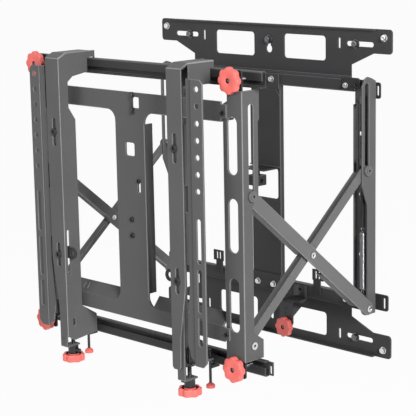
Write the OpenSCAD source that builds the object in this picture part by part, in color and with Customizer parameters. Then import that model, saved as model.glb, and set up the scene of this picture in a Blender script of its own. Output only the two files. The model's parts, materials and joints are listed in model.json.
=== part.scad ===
// Pop-out video wall mount, shown pulled out.
// X runs along the wall, Y runs into the wall, Z is up.
// The origin is the middle of the wall plates' back face, so the wall is the plane Y = 0.

/* [Wall plates] */
// Length of both wall plates
plate_len = 521; // [500:1:560]
// Height over both wall plates
mount_h = 536; // [530:1:552]
// Thickness of the wall plates
plate_t = 2.5; // [2:0.5:3]
// Depth of the upper plate's front lip
lip_top = 8; // [5:1:14]
// Depth of the lower plate's front lip
lip_low = 11; // [5:1:14]
// Distance between the long mounting slots along X
slot_span = 392.2; // [380:0.2:400]
// Length of a long mounting slot
slot_len = 55; // [30:1:60]
// Width of a long mounting slot
slot_w = 8; // [6:0.5:9]

/* [Wall frame] */
// Thickness of the folded steel sheet
sheet = 3; // [2.5:0.1:3.2]
// Outer face of the side rails, from the middle
rail_x = 230.5; // [228:0.5:236]
// Width of a side rail's back web
rail_w = 40.5; // [38:0.5:44]
// Depth of the rails in the slider zone, from the wall
rail_deep = 38; // [37:0.5:42]
// Depth of the rails below the slider zone, from the wall
rail_shallow = 25; // [20:0.5:28]
// Distance of the cross channels' front face from the wall
frame_front = 13; // [12:0.5:15]
// Height of the cross channels
cross_h = 20; // [16:0.5:22]
// Half width of the centre column
column_half = 33; // [26:0.5:36]

/* [Scissors] */
// Distance of the wall pivots from the wall
wall_pin_y = 27; // [26:0.5:28]
// Reach from the wall pivots to the front pivots, pulled out
reach = 277; // [270:1:280]
// Height of the sliders above the fixed pivots, pulled out
rise = 226.4; // [222:0.2:230]
// Height of the fixed pivots below the middle
pivot_drop = 181; // [179:0.5:183]
// Width of the rising arms
arm_a_w = 22; // [20:0.5:24]
// Width of the falling arms
arm_b_w = 15.5; // [14:0.5:18]
// Depth of the rising arms' stiffening flange
arm_a_flange = 17.5; // [12:0.5:18]
// Depth of the falling arms' stiffening flange
arm_b_flange = 12.5; // [10:0.5:15]
// Diameter of the pivot and slider pins
pin_d = 8; // [7:0.2:9]
// Diameter of the pin heads
pin_head_d = 17; // [14:0.5:18]
// Side gap between two neighbouring layers
layer_gap = 1; // [0.8:0.1:1.4]

/* [Springs] */
// Outer diameter of a spring
spring_d = 10; // [9:0.1:10.4]
// Diameter of the spring wire
wire_d = 1.8; // [1.4:0.1:2]
// Curls in one spring
spring_turns = 27; // [12:1:34]
// Length of the wound part
spring_len = 97; // [80:1:110]

/* [Front frame] */
// Front face of the front channels, from the wall
channel_front = 321.5; // [320:0.5:324]
// Width of the front channels
channel_w = 39.7; // [36:0.1:42]
// Top of the front channels
channel_top = 201; // [196:0.5:202]
// Bottom of the front channels
channel_bottom = 204; // [200:0.5:208]
// Width of the slots in the front channels' face
face_slot_w = 19; // [12:0.5:22]
// Half width of the cross plate's web
web_half = 33; // [26:0.5:40]
// Corner radius where the cross plate's web meets its bars
web_fillet = 18; // [10:0.5:24]
// Half length of the screen rails
screen_rail_half = 254.5; // [245:0.5:262]
// Front face of the screen rails, from the wall
screen_rail_y = 297; // [296:0.5:298]
// Height of the screen rails
screen_rail_h = 24; // [22:0.5:25]

/* [Screen brackets] */
// Inner side of the hook channels, from the middle
hook_x = 123; // [110:0.5:126]
// Width of the hook channels
hook_w = 31.5; // [29:0.5:33]
// Front face of the hook channels, from the wall
hook_front = 362; // [360:0.5:364]
// Distance of the mounting holes from the middle
hole_x = 184.2; // [180:0.2:186]
// Diameter of the round mounting holes
hole_d = 8.5; // [6:0.1:9]
// Spacing of the round mounting holes
hole_pitch = 25; // [20:0.5:26]
// Round mounting holes in one plate
hole_count = 7; // [3:1:7]

/* [Knobs] */
// Diameter of the depth knobs
depth_knob_d = 40; // [30:0.5:44]
// Thickness of the depth knobs
depth_knob_t = 9; // [7:0.5:10]
// Diameter of the height knobs
height_knob_d = 37; // [30:0.5:40]
// Thickness of the height knobs
height_knob_t = 12; // [8:0.5:14]
// Diameter of the rear lock knob
lock_knob_d = 34; // [28:0.5:38]
// Diameter of the pull buttons
button_d = 14; // [10:0.5:16]

/* [Hidden] */
$fn = 48;

steel = [0.24, 0.24, 0.25];
dark_steel = [0.16, 0.16, 0.17];
zinc = [0.78, 0.78, 0.76];
coral = [1.0, 0.46, 0.43];
dark_coral = [0.82, 0.32, 0.3];
black = [0.08, 0.08, 0.09];

// Small clearances
fit = 0.25;
seat = 0.3;
eps = 0.01;

// Wall plates
plate_top = mount_h / 2;
plate_half = plate_len / 2;
plate_slot_z = plate_top - 25.25;
tab_h = 39;
tab_bottom = plate_top - tab_h;
shoulder_x = plate_half - 82.5;
shoulder_z = tab_bottom - 20;
chamfer_x = plate_half - 37;
window_in = 34;
window_out = 124.3;
window_h = 40.2;
lip_half = plate_half - 31.5;
plate_bolt_x = plate_half - 14.5;
plate_bolt_z = plate_top - 13.5;
corner_r = 6;

// Cross channels: the wall plates' shelves rest on them
cross_low = 167;
cross_top = cross_low + cross_h;
shelf_z = cross_top + seat;
cross_half = rail_x - rail_w;

// Side rails
rail_back = 4;
rail_top = 194.6;
rail_in = rail_x - sheet;
guide_x = 210;
guide_t = 2.5;
guide_depth = 28;

// Scissors
theta = atan2(rise, reach);
arm_len = norm([rise, reach]);
slider_z = rise - pivot_drop;
front_pin_y = wall_pin_y + reach;
outer_x = rail_x + layer_gap;
inner_x = rail_in - layer_gap - sheet;
channel_gap = 0.5;
channel_x = outer_x + sheet + channel_gap + sheet;
channel_in = channel_x - sheet;
slot_clear = 1.2;
rail_slot_top = 185;
channel_slot_top = 181;
fold_cut = 46;
near_cut = 17;
end_cut = 26;

// Springs
spring_x = 218;
spring_y = 22;
spring_bottom = -153;
spring_top = spring_bottom + spring_len;
spring_r = (spring_d - wire_d) / 2;
link_x = 217;
link_t = 3;
hook_len = 8;
ferrule_d = 5;

// Rear lock
lock_x = 77;
lock_z = -234;
lock_plate_y = 52;

// Front frame
channel_edge = channel_x - channel_w;
channel_back = channel_front - sheet;
plate_front = channel_front + sheet;
flange_back = 294;
web_flange_back = 307;
stud_heights = [-17, -42.5];
end_screws = [168, -166];
key_x = 18;
rod_x = 9;
rod_low = 152;
rod_high = 183;
rod_d = 3;
rod_y = plate_front + 2.4;
bar_half = channel_edge - 0.3;
tab_half = channel_edge + 10;
top_bar_low = 154;
top_bar_high = 184;
low_bar_low = -178.5;
low_bar_high = -154;
face_slot_x = channel_edge + 18.7;

// Screen rails and their depth screws
rail_low_edge = 204;
rail_high_edge = rail_low_edge + screen_rail_h;
rail_depth = 9;
rail_t = 2.5;
screw_x = 220;
screw_z = rail_low_edge + screen_rail_h / 2;
screw_d = 6;
screw_end = 280;
knob_front = 333;
nut_t = 5;

// Screen brackets
hook_t = 2.5;
hook_out = hook_x + hook_w;
hook_back = 329.7;
hook_neck = 343;
hook_top = 239.5;
cheek_rear = 293;
hook_rear = 284.5;
web_top = 232;
hole_plate_x = 161;
hole_plate_edge = 196;
hole_plate_y = 361;
hole_plate_t = 2.5;
plate_lean_x = 154.8;
hole_top_z = 204.3;
height_x = 137;
height_y = 340;
height_z = -258;
pull_x = 143;
pull_y = 301;
button_z = -259;

// Turns a drawing of Y and Z into a plate that starts at x and grows outwards
module side_plate(x, t) {
    translate([x, 0, 0]) rotate([90, 0, 90]) linear_extrude(t) children();
}

// Turns a drawing of X and Z into a plate whose back lies at y and that grows forwards
module face_plate(y, t) {
    translate([0, -y, 0]) rotate([90, 0, 0]) linear_extrude(t) children();
}

// Draws its children on the right, and again on the left
module both_sides() {
    children();
    mirror([1, 0, 0]) children();
}

// Draws its children as they are for 1 and mirrored to the left for -1
module on_side(s) {
    mirror([s < 0 ? 1 : 0, 0, 0]) children();
}

// Box between two corners
module box(a, b) {
    translate([min(a[0], b[0]), min(a[1], b[1]), min(a[2], b[2])])
        cube([abs(b[0] - a[0]), abs(b[1] - a[1]), abs(b[2] - a[2])]);
}

// Rectangle between two corners
module area(a, b) {
    translate([min(a[0], b[0]), min(a[1], b[1])])
        square([abs(b[0] - a[0]), abs(b[1] - a[1])]);
}

// Rectangle between two corners, with round corners
module round_area(a, b, r) {
    area([a[0] + r, a[1]], [b[0] - r, b[1]]);
    area([a[0], a[1] + r], [b[0], b[1] - r]);
    for (x = [a[0] + r, b[0] - r], y = [a[1] + r, b[1] - r])
        translate([x, y]) circle(r);
}

// Upright slot between two end heights
module slot_up(x, low, high, w) {
    translate([x, low + w / 2]) circle(d = w);
    translate([x, high - w / 2]) circle(d = w);
    area([x - w / 2, low + w / 2], [x + w / 2, high - w / 2]);
}

// Level slot, centred
module slot_level(x, z, len, w) {
    for (e = [-1, 1]) translate([x + e * (len - w) / 2, z]) circle(d = w);
    area([x - (len - w) / 2, z - w / 2], [x + (len - w) / 2, z + w / 2]);
}

// Cylinder along Y from y1 to y2, both counted forwards from the wall
module along_y(x, z, y1, y2, d) {
    translate([x, -y1, z]) rotate([90, 0, 0]) cylinder(d = d, h = y2 - y1);
}

// Cylinder along X from x1 to x2
module along_x(y, z, x1, x2, d) {
    translate([x1, -y, z]) rotate([0, 90, 0]) cylinder(d = d, h = x2 - x1);
}

// Cylinder along Z from z1 to z2
module along_z(x, y, z1, z2, d) {
    translate([x, -y, z1]) cylinder(d = d, h = z2 - z1);
}

// Hexagonal bolt head with its washer, along Y, whose washer lies at y
module hex_head_y(x, z, y, across, t) {
    along_y(x, z, y, y + 1, across * 1.35);
    translate([x, -y - 1, z]) rotate([90, 30, 0]) cylinder(d = across * 1.1547, h = t, $fn = 6);
}

// Outline of a lobed knob
module lobed_area(d, lobes, lobe_d) {
    circle(r = d / 2 - lobe_d * 0.28);
    for (i = [0:lobes - 1])
        rotate(i * 360 / lobes) translate([d / 2 - lobe_d / 2, 0]) circle(d = lobe_d);
}

// Lobed knob lying flat on z = 0, whose upper face has a recess between two diameters
module lobed_knob(d, t, lobes, lobe_d, wide, narrow) {
    deep = 3;
    linear_extrude(t - deep) lobed_area(d, lobes, lobe_d);
    translate([0, 0, t - deep]) linear_extrude(deep) difference() {
        lobed_area(d, lobes, lobe_d);
        circle(d = wide);
    }
    if (narrow > 0) translate([0, 0, t - deep - eps]) cylinder(d = narrow, h = deep + eps);
}

// Half outline of a wall plate
module wall_plate_half() {
    round_area([-plate_half, tab_bottom], [plate_half, plate_top], corner_r);
    polygon([[0, tab_bottom + corner_r + 1], [chamfer_x, tab_bottom + corner_r + 1],
        [chamfer_x, tab_bottom], [shoulder_x, shoulder_z], [shoulder_x, shelf_z], [0, shelf_z]]);
}

module wall_plate_outline() {
    difference() {
        union() {
            wall_plate_half();
            mirror([1, 0]) wall_plate_half();
        }
        for (s = [-1, 1]) {
            slot_level(s * slot_span / 2, plate_slot_z, slot_len, slot_w);
            slot_up(s * 153.3, plate_slot_z - 8.6, plate_slot_z + 8.6, 4.6);
            translate([s * plate_bolt_x, plate_bolt_z]) circle(d = 6.4);
        }
        round_area([window_in, tab_bottom - 16.5], [window_out, tab_bottom - 16.5 + window_h], corner_r);
        round_area([-window_out, tab_bottom - 16.5], [-window_in, tab_bottom - 16.5 + window_h], corner_r);
        translate([0, plate_top - 42]) circle(d = 13);
        slot_up(0, plate_top - 42, plate_top - 23, 7);
    }
}

module wall_plate(lip) {
    face_plate(0, plate_t) wall_plate_outline();
    box([-shoulder_x, -plate_t, shelf_z], [shoulder_x, -frame_front, shelf_z + plate_t]);
    box([-lip_half, -plate_t, plate_top - plate_t], [lip_half, -lip, plate_top]);
}

module wall_plate_top() {
    color(steel) wall_plate(lip_top);
}

module wall_plate_bottom() {
    color(steel) mirror([0, 0, 1]) wall_plate(lip_low);
}

// Side flange of a wall rail as Y and Z: deep round the sliders, shallow below, round lobes
module rail_side_outline() {
    slim_z = -12;
    step_z = 20;
    lobe_r = 12;
    difference() {
        union() {
            area([-rail_shallow, -pivot_drop - 8], [-rail_back, rail_top - 8]);
            polygon([[-rail_back, step_z], [-rail_deep, step_z], [-rail_deep, rail_top - 14],
                [-rail_deep + 6, rail_top - 3], [-rail_deep + 14, rail_top],
                [-14, rail_top - 3], [-rail_back, rail_top - 8]]);
            polygon([[-rail_shallow, slim_z], [-rail_deep, step_z + eps], [-rail_back, step_z + eps],
                [-rail_back, slim_z]]);
            translate([-wall_pin_y, -pivot_drop]) circle(lobe_r);
            area([-wall_pin_y, -pivot_drop - lobe_r], [-rail_back, -pivot_drop]);
        }
        slot_up(-wall_pin_y, slider_z - pin_d / 2 - slot_clear, rail_slot_top, pin_d + 2 * slot_clear);
        translate([-wall_pin_y, -pivot_drop]) circle(d = pin_d + 2 * fit);
    }
}

// Inner guide flange of a wall rail as Y and Z
module rail_guide_outline() {
    difference() {
        polygon([[-rail_back, -14], [-14, -14], [-20, -4], [-20, 20], [-guide_depth, 30],
            [-guide_depth, 152], [-guide_depth + 8, 162], [-rail_back, 162]]);
        slot_up(-wall_pin_y + 8, 60, 150, 6);
    }
}

module wall_rail() {
    side_plate(rail_in, sheet) rail_side_outline();
    side_plate(guide_x, guide_t) rail_guide_outline();
    difference() {
        box([rail_x - rail_w, -rail_back, -pivot_drop - 12],
            [rail_x - eps, -rail_back - sheet, rail_top - 8]);
        for (z = [-100, 0, 100]) along_y(rail_x - rail_w + 10, z, 0, 12, 7);
    }
    box([rail_x - rail_w, -rail_back - sheet + eps, -pivot_drop + 20],
        [rail_x - rail_w + 2.5, -frame_front + 1, cross_low - 20]);
}

module wall_rail_left() {
    color(steel) on_side(-1) wall_rail();
}

module wall_rail_right() {
    color(steel) on_side(1) wall_rail();
}

// Cross channel, open to the wall, between the side rails' inner edges
module cross_channel() {
    end = cross_half - seat;
    difference() {
        union() {
            box([-end, -frame_front + sheet, cross_low], [end, -frame_front, cross_top]);
            box([-end, -plate_t - seat, cross_top - sheet], [end, -frame_front, cross_top]);
            box([-end, -plate_t - seat, cross_low], [end, -frame_front, cross_low + sheet]);
        }
        for (s = [-1, 1]) {
            along_y(s * 18, cross_low + cross_h / 2, 0, frame_front + 1, 5.5);
            along_y(s * (end - 12), cross_low + cross_h / 2, 0, frame_front + 1, 5.5);
        }
    }
}

module cross_channel_top() {
    color(steel) cross_channel();
}

module cross_channel_bottom() {
    color(steel) mirror([0, 0, 1]) cross_channel();
}

// Folded sheet between the cross channels, with a window for the latch
module wall_column() {
    top = cross_low - seat;
    front = frame_front;
    color(steel) {
        difference() {
            face_plate(front - sheet, sheet) difference() {
                area([-column_half, -top], [column_half, top]);
                round_area([-27, -28], [27, 25], corner_r);
            }
        }
        for (s = [-1, 1])
            box([s * column_half, -front + sheet / 2, -top], [s * (column_half - sheet), -rail_back, top]);
        for (s = [-1, 1])
            difference() {
                box([-column_half, -front, s * (top - 6)], [column_half, -front - sheet, s * (cross_top - 1)]);
                for (x = [-18, 18]) along_y(x, s * (cross_low + cross_h / 2), 0, front + sheet + 1, 5.5);
            }
    }
}

// Cover plate over the upper part of the column, with its corners cut and its foot turned in
module column_cover() {
    front = frame_front + seat;
    top = cross_low - 7;
    foot = 27;
    color(steel) {
        face_plate(front, 2) polygon([[-column_half, foot], [column_half, foot],
            [column_half, top - 10], [column_half - 6, top], [6 - column_half, top],
            [-column_half, top - 10]]);
        box([-column_half, -front - 2, foot], [column_half, -front - 5, foot + 2]);
    }
}

// Catch that the front frame's latch closes on
module latch_catch() {
    front = frame_front;
    color(dark_steel) {
        box([-26, -front - seat, 26.5], [26, -front - 34, 24]);
        box([-4, -front - 20, 24 + eps], [4, -front - 30, 14]);
        difference() {
            box([-12, -front - 12, -3], [12, -front - 34, 15]);
            along_x(front + 24, 5, -20, 20, 9);
        }
    }
}

// Plates that tie the cross channels to the side rails
module corner_gusset() {
    z0 = cross_low + 5;
    difference() {
        face_plate(frame_front + 0.2, 2.5) difference() {
            round_area([cross_half - 20, z0], [cross_half + 16, z0 + 18], 5);
            translate([cross_half - 12, cross_low + cross_h / 2]) circle(d = 5.5);
            translate([cross_half + 8, cross_low + cross_h / 2 + 2]) circle(d = 5.5);
        }
    }
    box([cross_half + 2, -rail_back - sheet - 0.2, z0 + 3],
        [cross_half + 14, -frame_front - 0.2 - eps, z0 + 15]);
}

module corner_gussets() {
    color(dark_steel) both_sides() {
        corner_gusset();
        mirror([0, 0, 1]) corner_gusset();
    }
}

// Slotted tabs behind the side rails, and tabs with two slots on the lower cross channel
module cable_tabs() {
    back = 1.2;
    clip = frame_front + 0.2;
    color(dark_steel) both_sides() {
        difference() {
            union() {
                box([106, -clip, -cross_low - 12], [122, -clip - 2, -cross_low + 12]);
                box([104, -clip, -cross_low + 11], [128, -clip - 2, -cross_low + 30]);
            }
            for (x = [112, 119]) face_plate(clip - 1, 4) slot_up(x, -cross_low + 14, -cross_low + 27, 3.4);
        }
        face_plate(back, rail_back - back - 0.2) difference() {
            round_area([rail_x - 26, -188], [rail_x + 25, -161], 4);
            slot_up(rail_x + 17.5, -184, -166, 4);
        }
        face_plate(back, rail_back - back - 0.2) difference() {
            round_area([rail_x - 26, 158], [rail_x + 8, 184], 4);
            slot_up(rail_x + 3, 163, 179, 4);
        }
    }
}

// Bright screws of the wall plates, the column and the gussets
module wall_bolts() {
    color(zinc) {
        for (s = [-1, 1], t = [-1, 1]) {
            hex_head_y(s * plate_bolt_x, t * plate_bolt_z, plate_t + 0.2, 9, 4);
            along_y(s * plate_bolt_x, t * plate_bolt_z, 0.4, plate_t + 1, 6);
            hex_head_y(s * 18, t * (cross_low + cross_h / 2), frame_front + sheet + 0.2, 8, 4);
            along_y(s * 18, t * (cross_low + cross_h / 2), plate_t + 1, frame_front + sheet + 1, 5);
            hex_head_y(s * (cross_half - 12), t * (cross_low + cross_h / 2), frame_front + 2.9, 7, 3);
            along_y(s * (cross_half - 12), t * (cross_low + cross_h / 2), plate_t + 1, frame_front + 3.5, 5);
        }
    }
}

// Lugs on the side rails that hold the lower ends of the springs
module spring_anchors() {
    low = spring_bottom - hook_len;
    color(dark_steel) both_sides() {
        difference() {
            union() {
                box([spring_x - 5, -rail_back - sheet - 0.1, low - 1], [spring_x + 5, -spring_y - 4, low + 2]);
                along_z(spring_x, spring_y, low - 1, low + 3, ferrule_d);
            }
            along_z(spring_x, spring_y, low - 6, low + 5, wire_d + 2 * fit);
        }
    }
}

function unit(v) = v / norm(v);

// Wound wire: straight lead, curls from a formula, straight lead
spring_path = concat(
    [[0, 0, -hook_len], [0, 0, -hook_len + wire_d * 2], [spring_r * 0.45, -spring_r * 0.3, -2.2]],
    [for (i = [0:8 * spring_turns])
        [spring_r * cos(45 * i), spring_r * sin(45 * i), spring_len * i / (8 * spring_turns)]],
    [[spring_r * 0.45, spring_r * 0.3, spring_len + 2.2], [0, 0, spring_len + hook_len - wire_d * 2],
        [0, 0, spring_len + hook_len]]);
path_last = len(spring_path) - 1;
path_dir = [for (i = [0:path_last])
    unit(spring_path[min(i + 1, path_last)] - spring_path[max(i - 1, 0)])];
path_side = [for (i = 0, n = [1, 0, 0]; i <= path_last; i = i + 1,
    n = unit(n - (n * path_dir[min(i, path_last)]) * path_dir[min(i, path_last)])) n];

// Least distance between the wire and its own neighbouring curl
spring_gap = min([for (i = [4:2:path_last - 14]) min([for (j = [i + 5:min(i + 13, path_last - 3)])
    norm(spring_path[i] - spring_path[j])])]) - wire_d;
echo("spring gap to itself, mm", spring_gap);

module spring_wire() {
    sides = 6;
    points = [for (i = [0:path_last]) let (n = path_side[i], b = cross(path_dir[i], n))
        for (k = [0:sides - 1])
            spring_path[i] + wire_d / 2 * (cos(k * 60) * n + sin(k * 60) * b)];
    walls = [for (i = [0:path_last - 1], k = [0:sides - 1])
        let (a = i * sides + k, b = i * sides + (k + 1) % sides)
        each [[a, b, a + sides], [b, b + sides, a + sides]]];
    start = [for (k = [1:sides - 2]) [0, k + 1, k]];
    end = [for (k = [1:sides - 2]) [path_last * sides, path_last * sides + k, path_last * sides + k + 1]];
    polyhedron(points, concat(walls, start, end), convexity = 4);
}

module spring(s) {
    on_side(s) translate([spring_x, -spring_y, spring_bottom]) spring_wire();
}

module spring_left() {
    color(zinc) spring(-1);
}

module spring_right() {
    color(zinc) spring(1);
}

// Bracket of the rear lock: a foot on the lower cross channel, a shelf and a hanging plate
module lock_bracket() {
    x1 = lock_x - 15;
    x2 = lock_x + 15;
    shelf = -cross_top - plate_t - 1;
    front = frame_front + 0.2;
    color(black) {
        difference() {
            box([x1, -front, shelf], [x2, -front - 2.5, -cross_low - 2]);
            along_y(lock_x, -cross_low - cross_h / 2, 0, 60, 5.5);
        }
        box([x1, -front, shelf - 2.5], [x2, -lock_plate_y, shelf + eps]);
        face_plate(lock_plate_y - 2.5, 2.5) difference() {
            union() {
                area([lock_x - 15, lock_z + 6], [lock_x + 15, shelf]);
                translate([lock_x, lock_z]) circle(11);
                area([lock_x - 11, lock_z], [lock_x + 11, lock_z + 7]);
            }
            translate([lock_x, lock_z]) circle(d = screw_d + 2 * fit);
            slot_up(lock_x, shelf - 22, shelf - 8, 5);
        }
        for (x = [x1, x2 - 2.5])
            side_plate(x, 2.5) polygon([[-front, shelf - 2.5 + eps], [-lock_plate_y, shelf - 2.5 + eps],
                [-lock_plate_y, shelf - 26]]);
    }
}

// Rear lock knob on its screw
module lock_knob() {
    color(dark_coral) {
        translate([lock_x, -lock_plate_y - 0.4, lock_z]) rotate([90, 0, 0])
            lobed_knob(lock_knob_d, 9, 8, 9, 7, 0);
        along_y(lock_x, lock_z, lock_plate_y - 16, lock_plate_y + 1, screw_d);
        along_y(lock_x, lock_z, lock_plate_y - 8, lock_plate_y - 2.9, 10);
    }
}

// Scissor arm as length, width and depth: the web first, then the flange in pieces
// u runs from the wall end, v across the arm, and the depth grows outwards along X
module arm_shape(w, x, edge, flange, pieces) {
    difference() {
        translate([0, 0, x]) linear_extrude(sheet) difference() {
            union() {
                circle(d = w);
                translate([arm_len, 0]) circle(d = w);
                area([0, -w / 2], [arm_len, w / 2]);
            }
            for (u = [0, arm_len / 2, arm_len]) translate([u, 0]) circle(d = pin_d + 2 * fit);
        }
    }
    for (p = pieces)
        translate([p[0], edge > 0 ? w / 2 - sheet : -w / 2, x + sheet - flange])
            cube([p[1] - p[0], sheet, flange]);
}

// Rising arm: from the wall pivot up to the slider in the front channel
module arm_a(x) {
    translate([0, -wall_pin_y, -pivot_drop]) rotate([90, 0, 90]) rotate(180 - theta)
        arm_shape(arm_a_w, x, 1, arm_a_flange, [[end_cut, arm_len / 2 - fold_cut],
            [arm_len / 2 + near_cut, arm_len - end_cut]]);
}

// Falling arm: from the slider in the wall rail down to the front pivot
module arm_b(x, pieces) {
    translate([0, -wall_pin_y, slider_z]) rotate([90, 0, 90]) rotate(180 + theta)
        arm_shape(arm_b_w, x, -1, arm_b_flange, pieces);
}

module arm_a_right() {
    color(steel) arm_a(outer_x);
}

module arm_b_right() {
    color(steel) arm_b(inner_x, [[end_cut / 2, arm_len - end_cut]]);
}

module arm_a_left() {
    color(steel) on_side(-1) arm_a(inner_x);
}

module arm_b_left() {
    color(steel) on_side(-1) arm_b(outer_x, [[end_cut + 5, arm_len / 2 - fold_cut - 4],
        [arm_len / 2 + near_cut, arm_len - end_cut]]);
}

// Pin along X with a round head at its outer end
module headed_pin(y, z, x1, x2, head_x, head_t, head_d) {
    along_x(y, z, x1, x2, pin_d);
    difference() {
        along_x(y, z, head_x, head_x + head_t, head_d);
        along_x(y, z, head_x + head_t - 2, head_x + head_t + 1, head_d * 0.28);
    }
    along_x(y, z, x1 - 1.5, x1, pin_d + 1);
}

// Fixed pivots of the rising arms in the wall rails
module wall_pivot_pins() {
    color(zinc) {
        headed_pin(wall_pin_y, -pivot_drop, rail_in - fit, outer_x + sheet + 1, outer_x + sheet + fit, 3, 11);
        mirror([1, 0, 0])
            headed_pin(wall_pin_y, -pivot_drop, inner_x - fit, rail_x + 1, rail_x + fit, 3, 11);
    }
}

// Centre pivot with its spacer between the two arms
module centre_pin(s) {
    z = slider_z / 2 - pivot_drop / 2;
    y = wall_pin_y + reach / 2;
    on_side(s) {
        headed_pin(y, z, inner_x - fit, outer_x + sheet + 1, outer_x + sheet + fit, 3, 10);
        difference() {
            along_x(y, z, inner_x + sheet + fit, outer_x - fit, 18);
            along_x(y, z, inner_x, outer_x, pin_d - eps);
        }
    }
}

module centre_pin_left() {
    color(zinc) centre_pin(-1);
}

module centre_pin_right() {
    color(zinc) centre_pin(1);
}

// Fixed pivots of the falling arms at the foot of the front channels
module front_pivot_pins() {
    color(zinc) {
        headed_pin(front_pin_y, -pivot_drop, inner_x - fit, channel_x + 1, channel_x + fit, 3, 12);
        along_x(front_pin_y, -pivot_drop, inner_x + sheet + fit, channel_in - fit, pin_d + 5);
        mirror([1, 0, 0])
            headed_pin(front_pin_y, -pivot_drop, outer_x - fit, channel_x + 1, channel_x + fit, 3, 12);
    }
}

// Slider at the top of a rising arm, through the slot in the front channel
module slider_pin_a(s, x) {
    on_side(s) headed_pin(front_pin_y, slider_z, x - fit, channel_x + 1, channel_x + fit, 5, pin_head_d);
}

module slider_pin_a_left() {
    color(zinc) slider_pin_a(-1, inner_x);
}

module slider_pin_a_right() {
    color(zinc) slider_pin_a(1, outer_x);
}

// Slider at the top of a falling arm, through the slot in the wall rail
module slider_pin_b(s, head_x) {
    on_side(s) {
        along_x(wall_pin_y, slider_z, link_x - 2, head_x + 1, pin_d);
        along_x(wall_pin_y, slider_z, link_x - 2, link_x - fit, pin_d + 2);
        difference() {
            along_x(wall_pin_y, slider_z, head_x + fit, head_x + 6, pin_head_d);
            along_x(wall_pin_y, slider_z, head_x + 4, head_x + 7, pin_head_d * 0.25);
        }
    }
}

module slider_pin_b_left() {
    color(zinc) slider_pin_b(-1, outer_x + sheet);
}

module slider_pin_b_right() {
    color(zinc) slider_pin_b(1, rail_x);
}

// Link from a falling arm's slider down to the top of the spring
module spring_link(s) {
    eye_d = pin_d + 6;
    low = spring_top + hook_len;
    on_side(s) {
        side_plate(link_x, link_t) difference() {
            union() {
                translate([-wall_pin_y, slider_z]) circle(d = eye_d);
                polygon([[-wall_pin_y - 3, slider_z], [-wall_pin_y + 5, slider_z], [-spring_y + 3, 20],
                    [-spring_y + 3, low + 0.9], [-spring_y - 3, low + 0.9], [-spring_y - 3, 20]]);
            }
            translate([-wall_pin_y, slider_z]) circle(d = pin_d + 2 * fit);
        }
        difference() {
            union() {
                box([spring_x - 3.5, -spring_y - 3, low - 2], [link_x + link_t, -spring_y + 3, low + 1]);
                along_z(spring_x, spring_y, low - 3, low + 1, ferrule_d);
            }
            along_z(spring_x, spring_y, low - 5, low + 0.5, wire_d + 2 * fit);
        }
    }
}

module spring_link_left() {
    color(dark_steel) spring_link(-1);
}

module spring_link_right() {
    color(dark_steel) spring_link(1);
}

// Side flange of a front channel as Y and Z
module channel_side_outline() {
    back = channel_front;
    difference() {
        polygon([[-back, -channel_bottom], [-back, channel_top], [-286, channel_top],
            [-286, 158], [-289, 154], [-289, 46], [-302, 28], [-302, -162],
            [-281.5, -176], [-281.5, -channel_bottom]]);
        slot_up(-front_pin_y, slider_z - pin_d / 2 - slot_clear, channel_slot_top, pin_d + 2 * slot_clear);
        translate([-front_pin_y, -pivot_drop]) circle(d = pin_d + 2 * fit);
    }
}

module front_channel() {
    lip_d = 5;
    face_plate(channel_back, sheet) difference() {
        polygon([[channel_edge, -channel_bottom], [channel_x - eps, -channel_bottom],
            [channel_x - eps, channel_top], [channel_edge + 9, channel_top],
            [channel_edge + 9, top_bar_high + 1], [channel_edge, top_bar_high - 4]]);
        slot_up(face_slot_x, 77, 162.5, face_slot_w);
        slot_up(face_slot_x, -40, 41.7, face_slot_w);
        slot_up(face_slot_x, -161, -77.8, face_slot_w);
        for (z = end_screws) translate([channel_edge + 5, z]) circle(d = 4.6);
    }
    side_plate(channel_in, sheet) channel_side_outline();
    box([channel_edge, -channel_back - eps, -channel_bottom],
        [channel_edge + sheet, -channel_back + lip_d, top_bar_high - 6]);
}

module front_channel_left() {
    color(steel) on_side(-1) front_channel();
}

module front_channel_right() {
    color(steel) on_side(1) front_channel();
}

// Round inner corner between two bars, for a corner at the origin that opens to +X and -Y
module corner_fill(r) {
    difference() {
        area([-eps, -r], [r, eps]);
        translate([r, -r]) circle(r);
    }
}

// I-shaped plate across the front channels
module cross_plate_outline() {
    difference() {
        union() {
            area([-bar_half, top_bar_low], [bar_half, top_bar_high]);
            area([-bar_half, low_bar_low], [bar_half, low_bar_high]);
            area([-web_half, low_bar_high - 1], [web_half, top_bar_low + 1]);
            for (s = [0, 1]) mirror([s, 0]) {
                translate([web_half, top_bar_low]) corner_fill(web_fillet);
                translate([web_half, low_bar_high]) mirror([0, 1]) corner_fill(web_fillet);
                area([bar_half - 1, top_bar_low + 6], [tab_half, top_bar_high - 4]);
                area([bar_half - 1, low_bar_low + 3], [tab_half, low_bar_high - 2]);
            }
        }
        round_area([-11, 84], [9.5, 105], 3.5);
        round_area([rod_x - 2, 160], [rod_x + 13, 177], 2);
        slot_up(key_x, 27, 50, 6);
        for (z = stud_heights) translate([0, z]) circle(d = 5.4);
        for (s = [-1, 1], z = end_screws) translate([s * (channel_edge + 5), z]) circle(d = 4.6);
    }
}

// Flange along the lower bar, folded back and up, with two slits
module low_bar_flange() {
    back = 14.5;
    up = 18;
    face = -channel_front - sheet;
    difference() {
        side_plate(web_half + 9, bar_half - web_half - 12) polygon([[face, low_bar_high - 2],
            [face, low_bar_high], [face + back, low_bar_high + up], [face + back + 2.3, low_bar_high + up - 1.9],
            [face + sheet, low_bar_high - 1.1], [face + sheet, low_bar_high - 2]]);
        for (x = [118, 128])
            box([x - 1.3, face, low_bar_high + 6], [x + 1.3, face + back, low_bar_high + 13]);
    }
}

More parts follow.
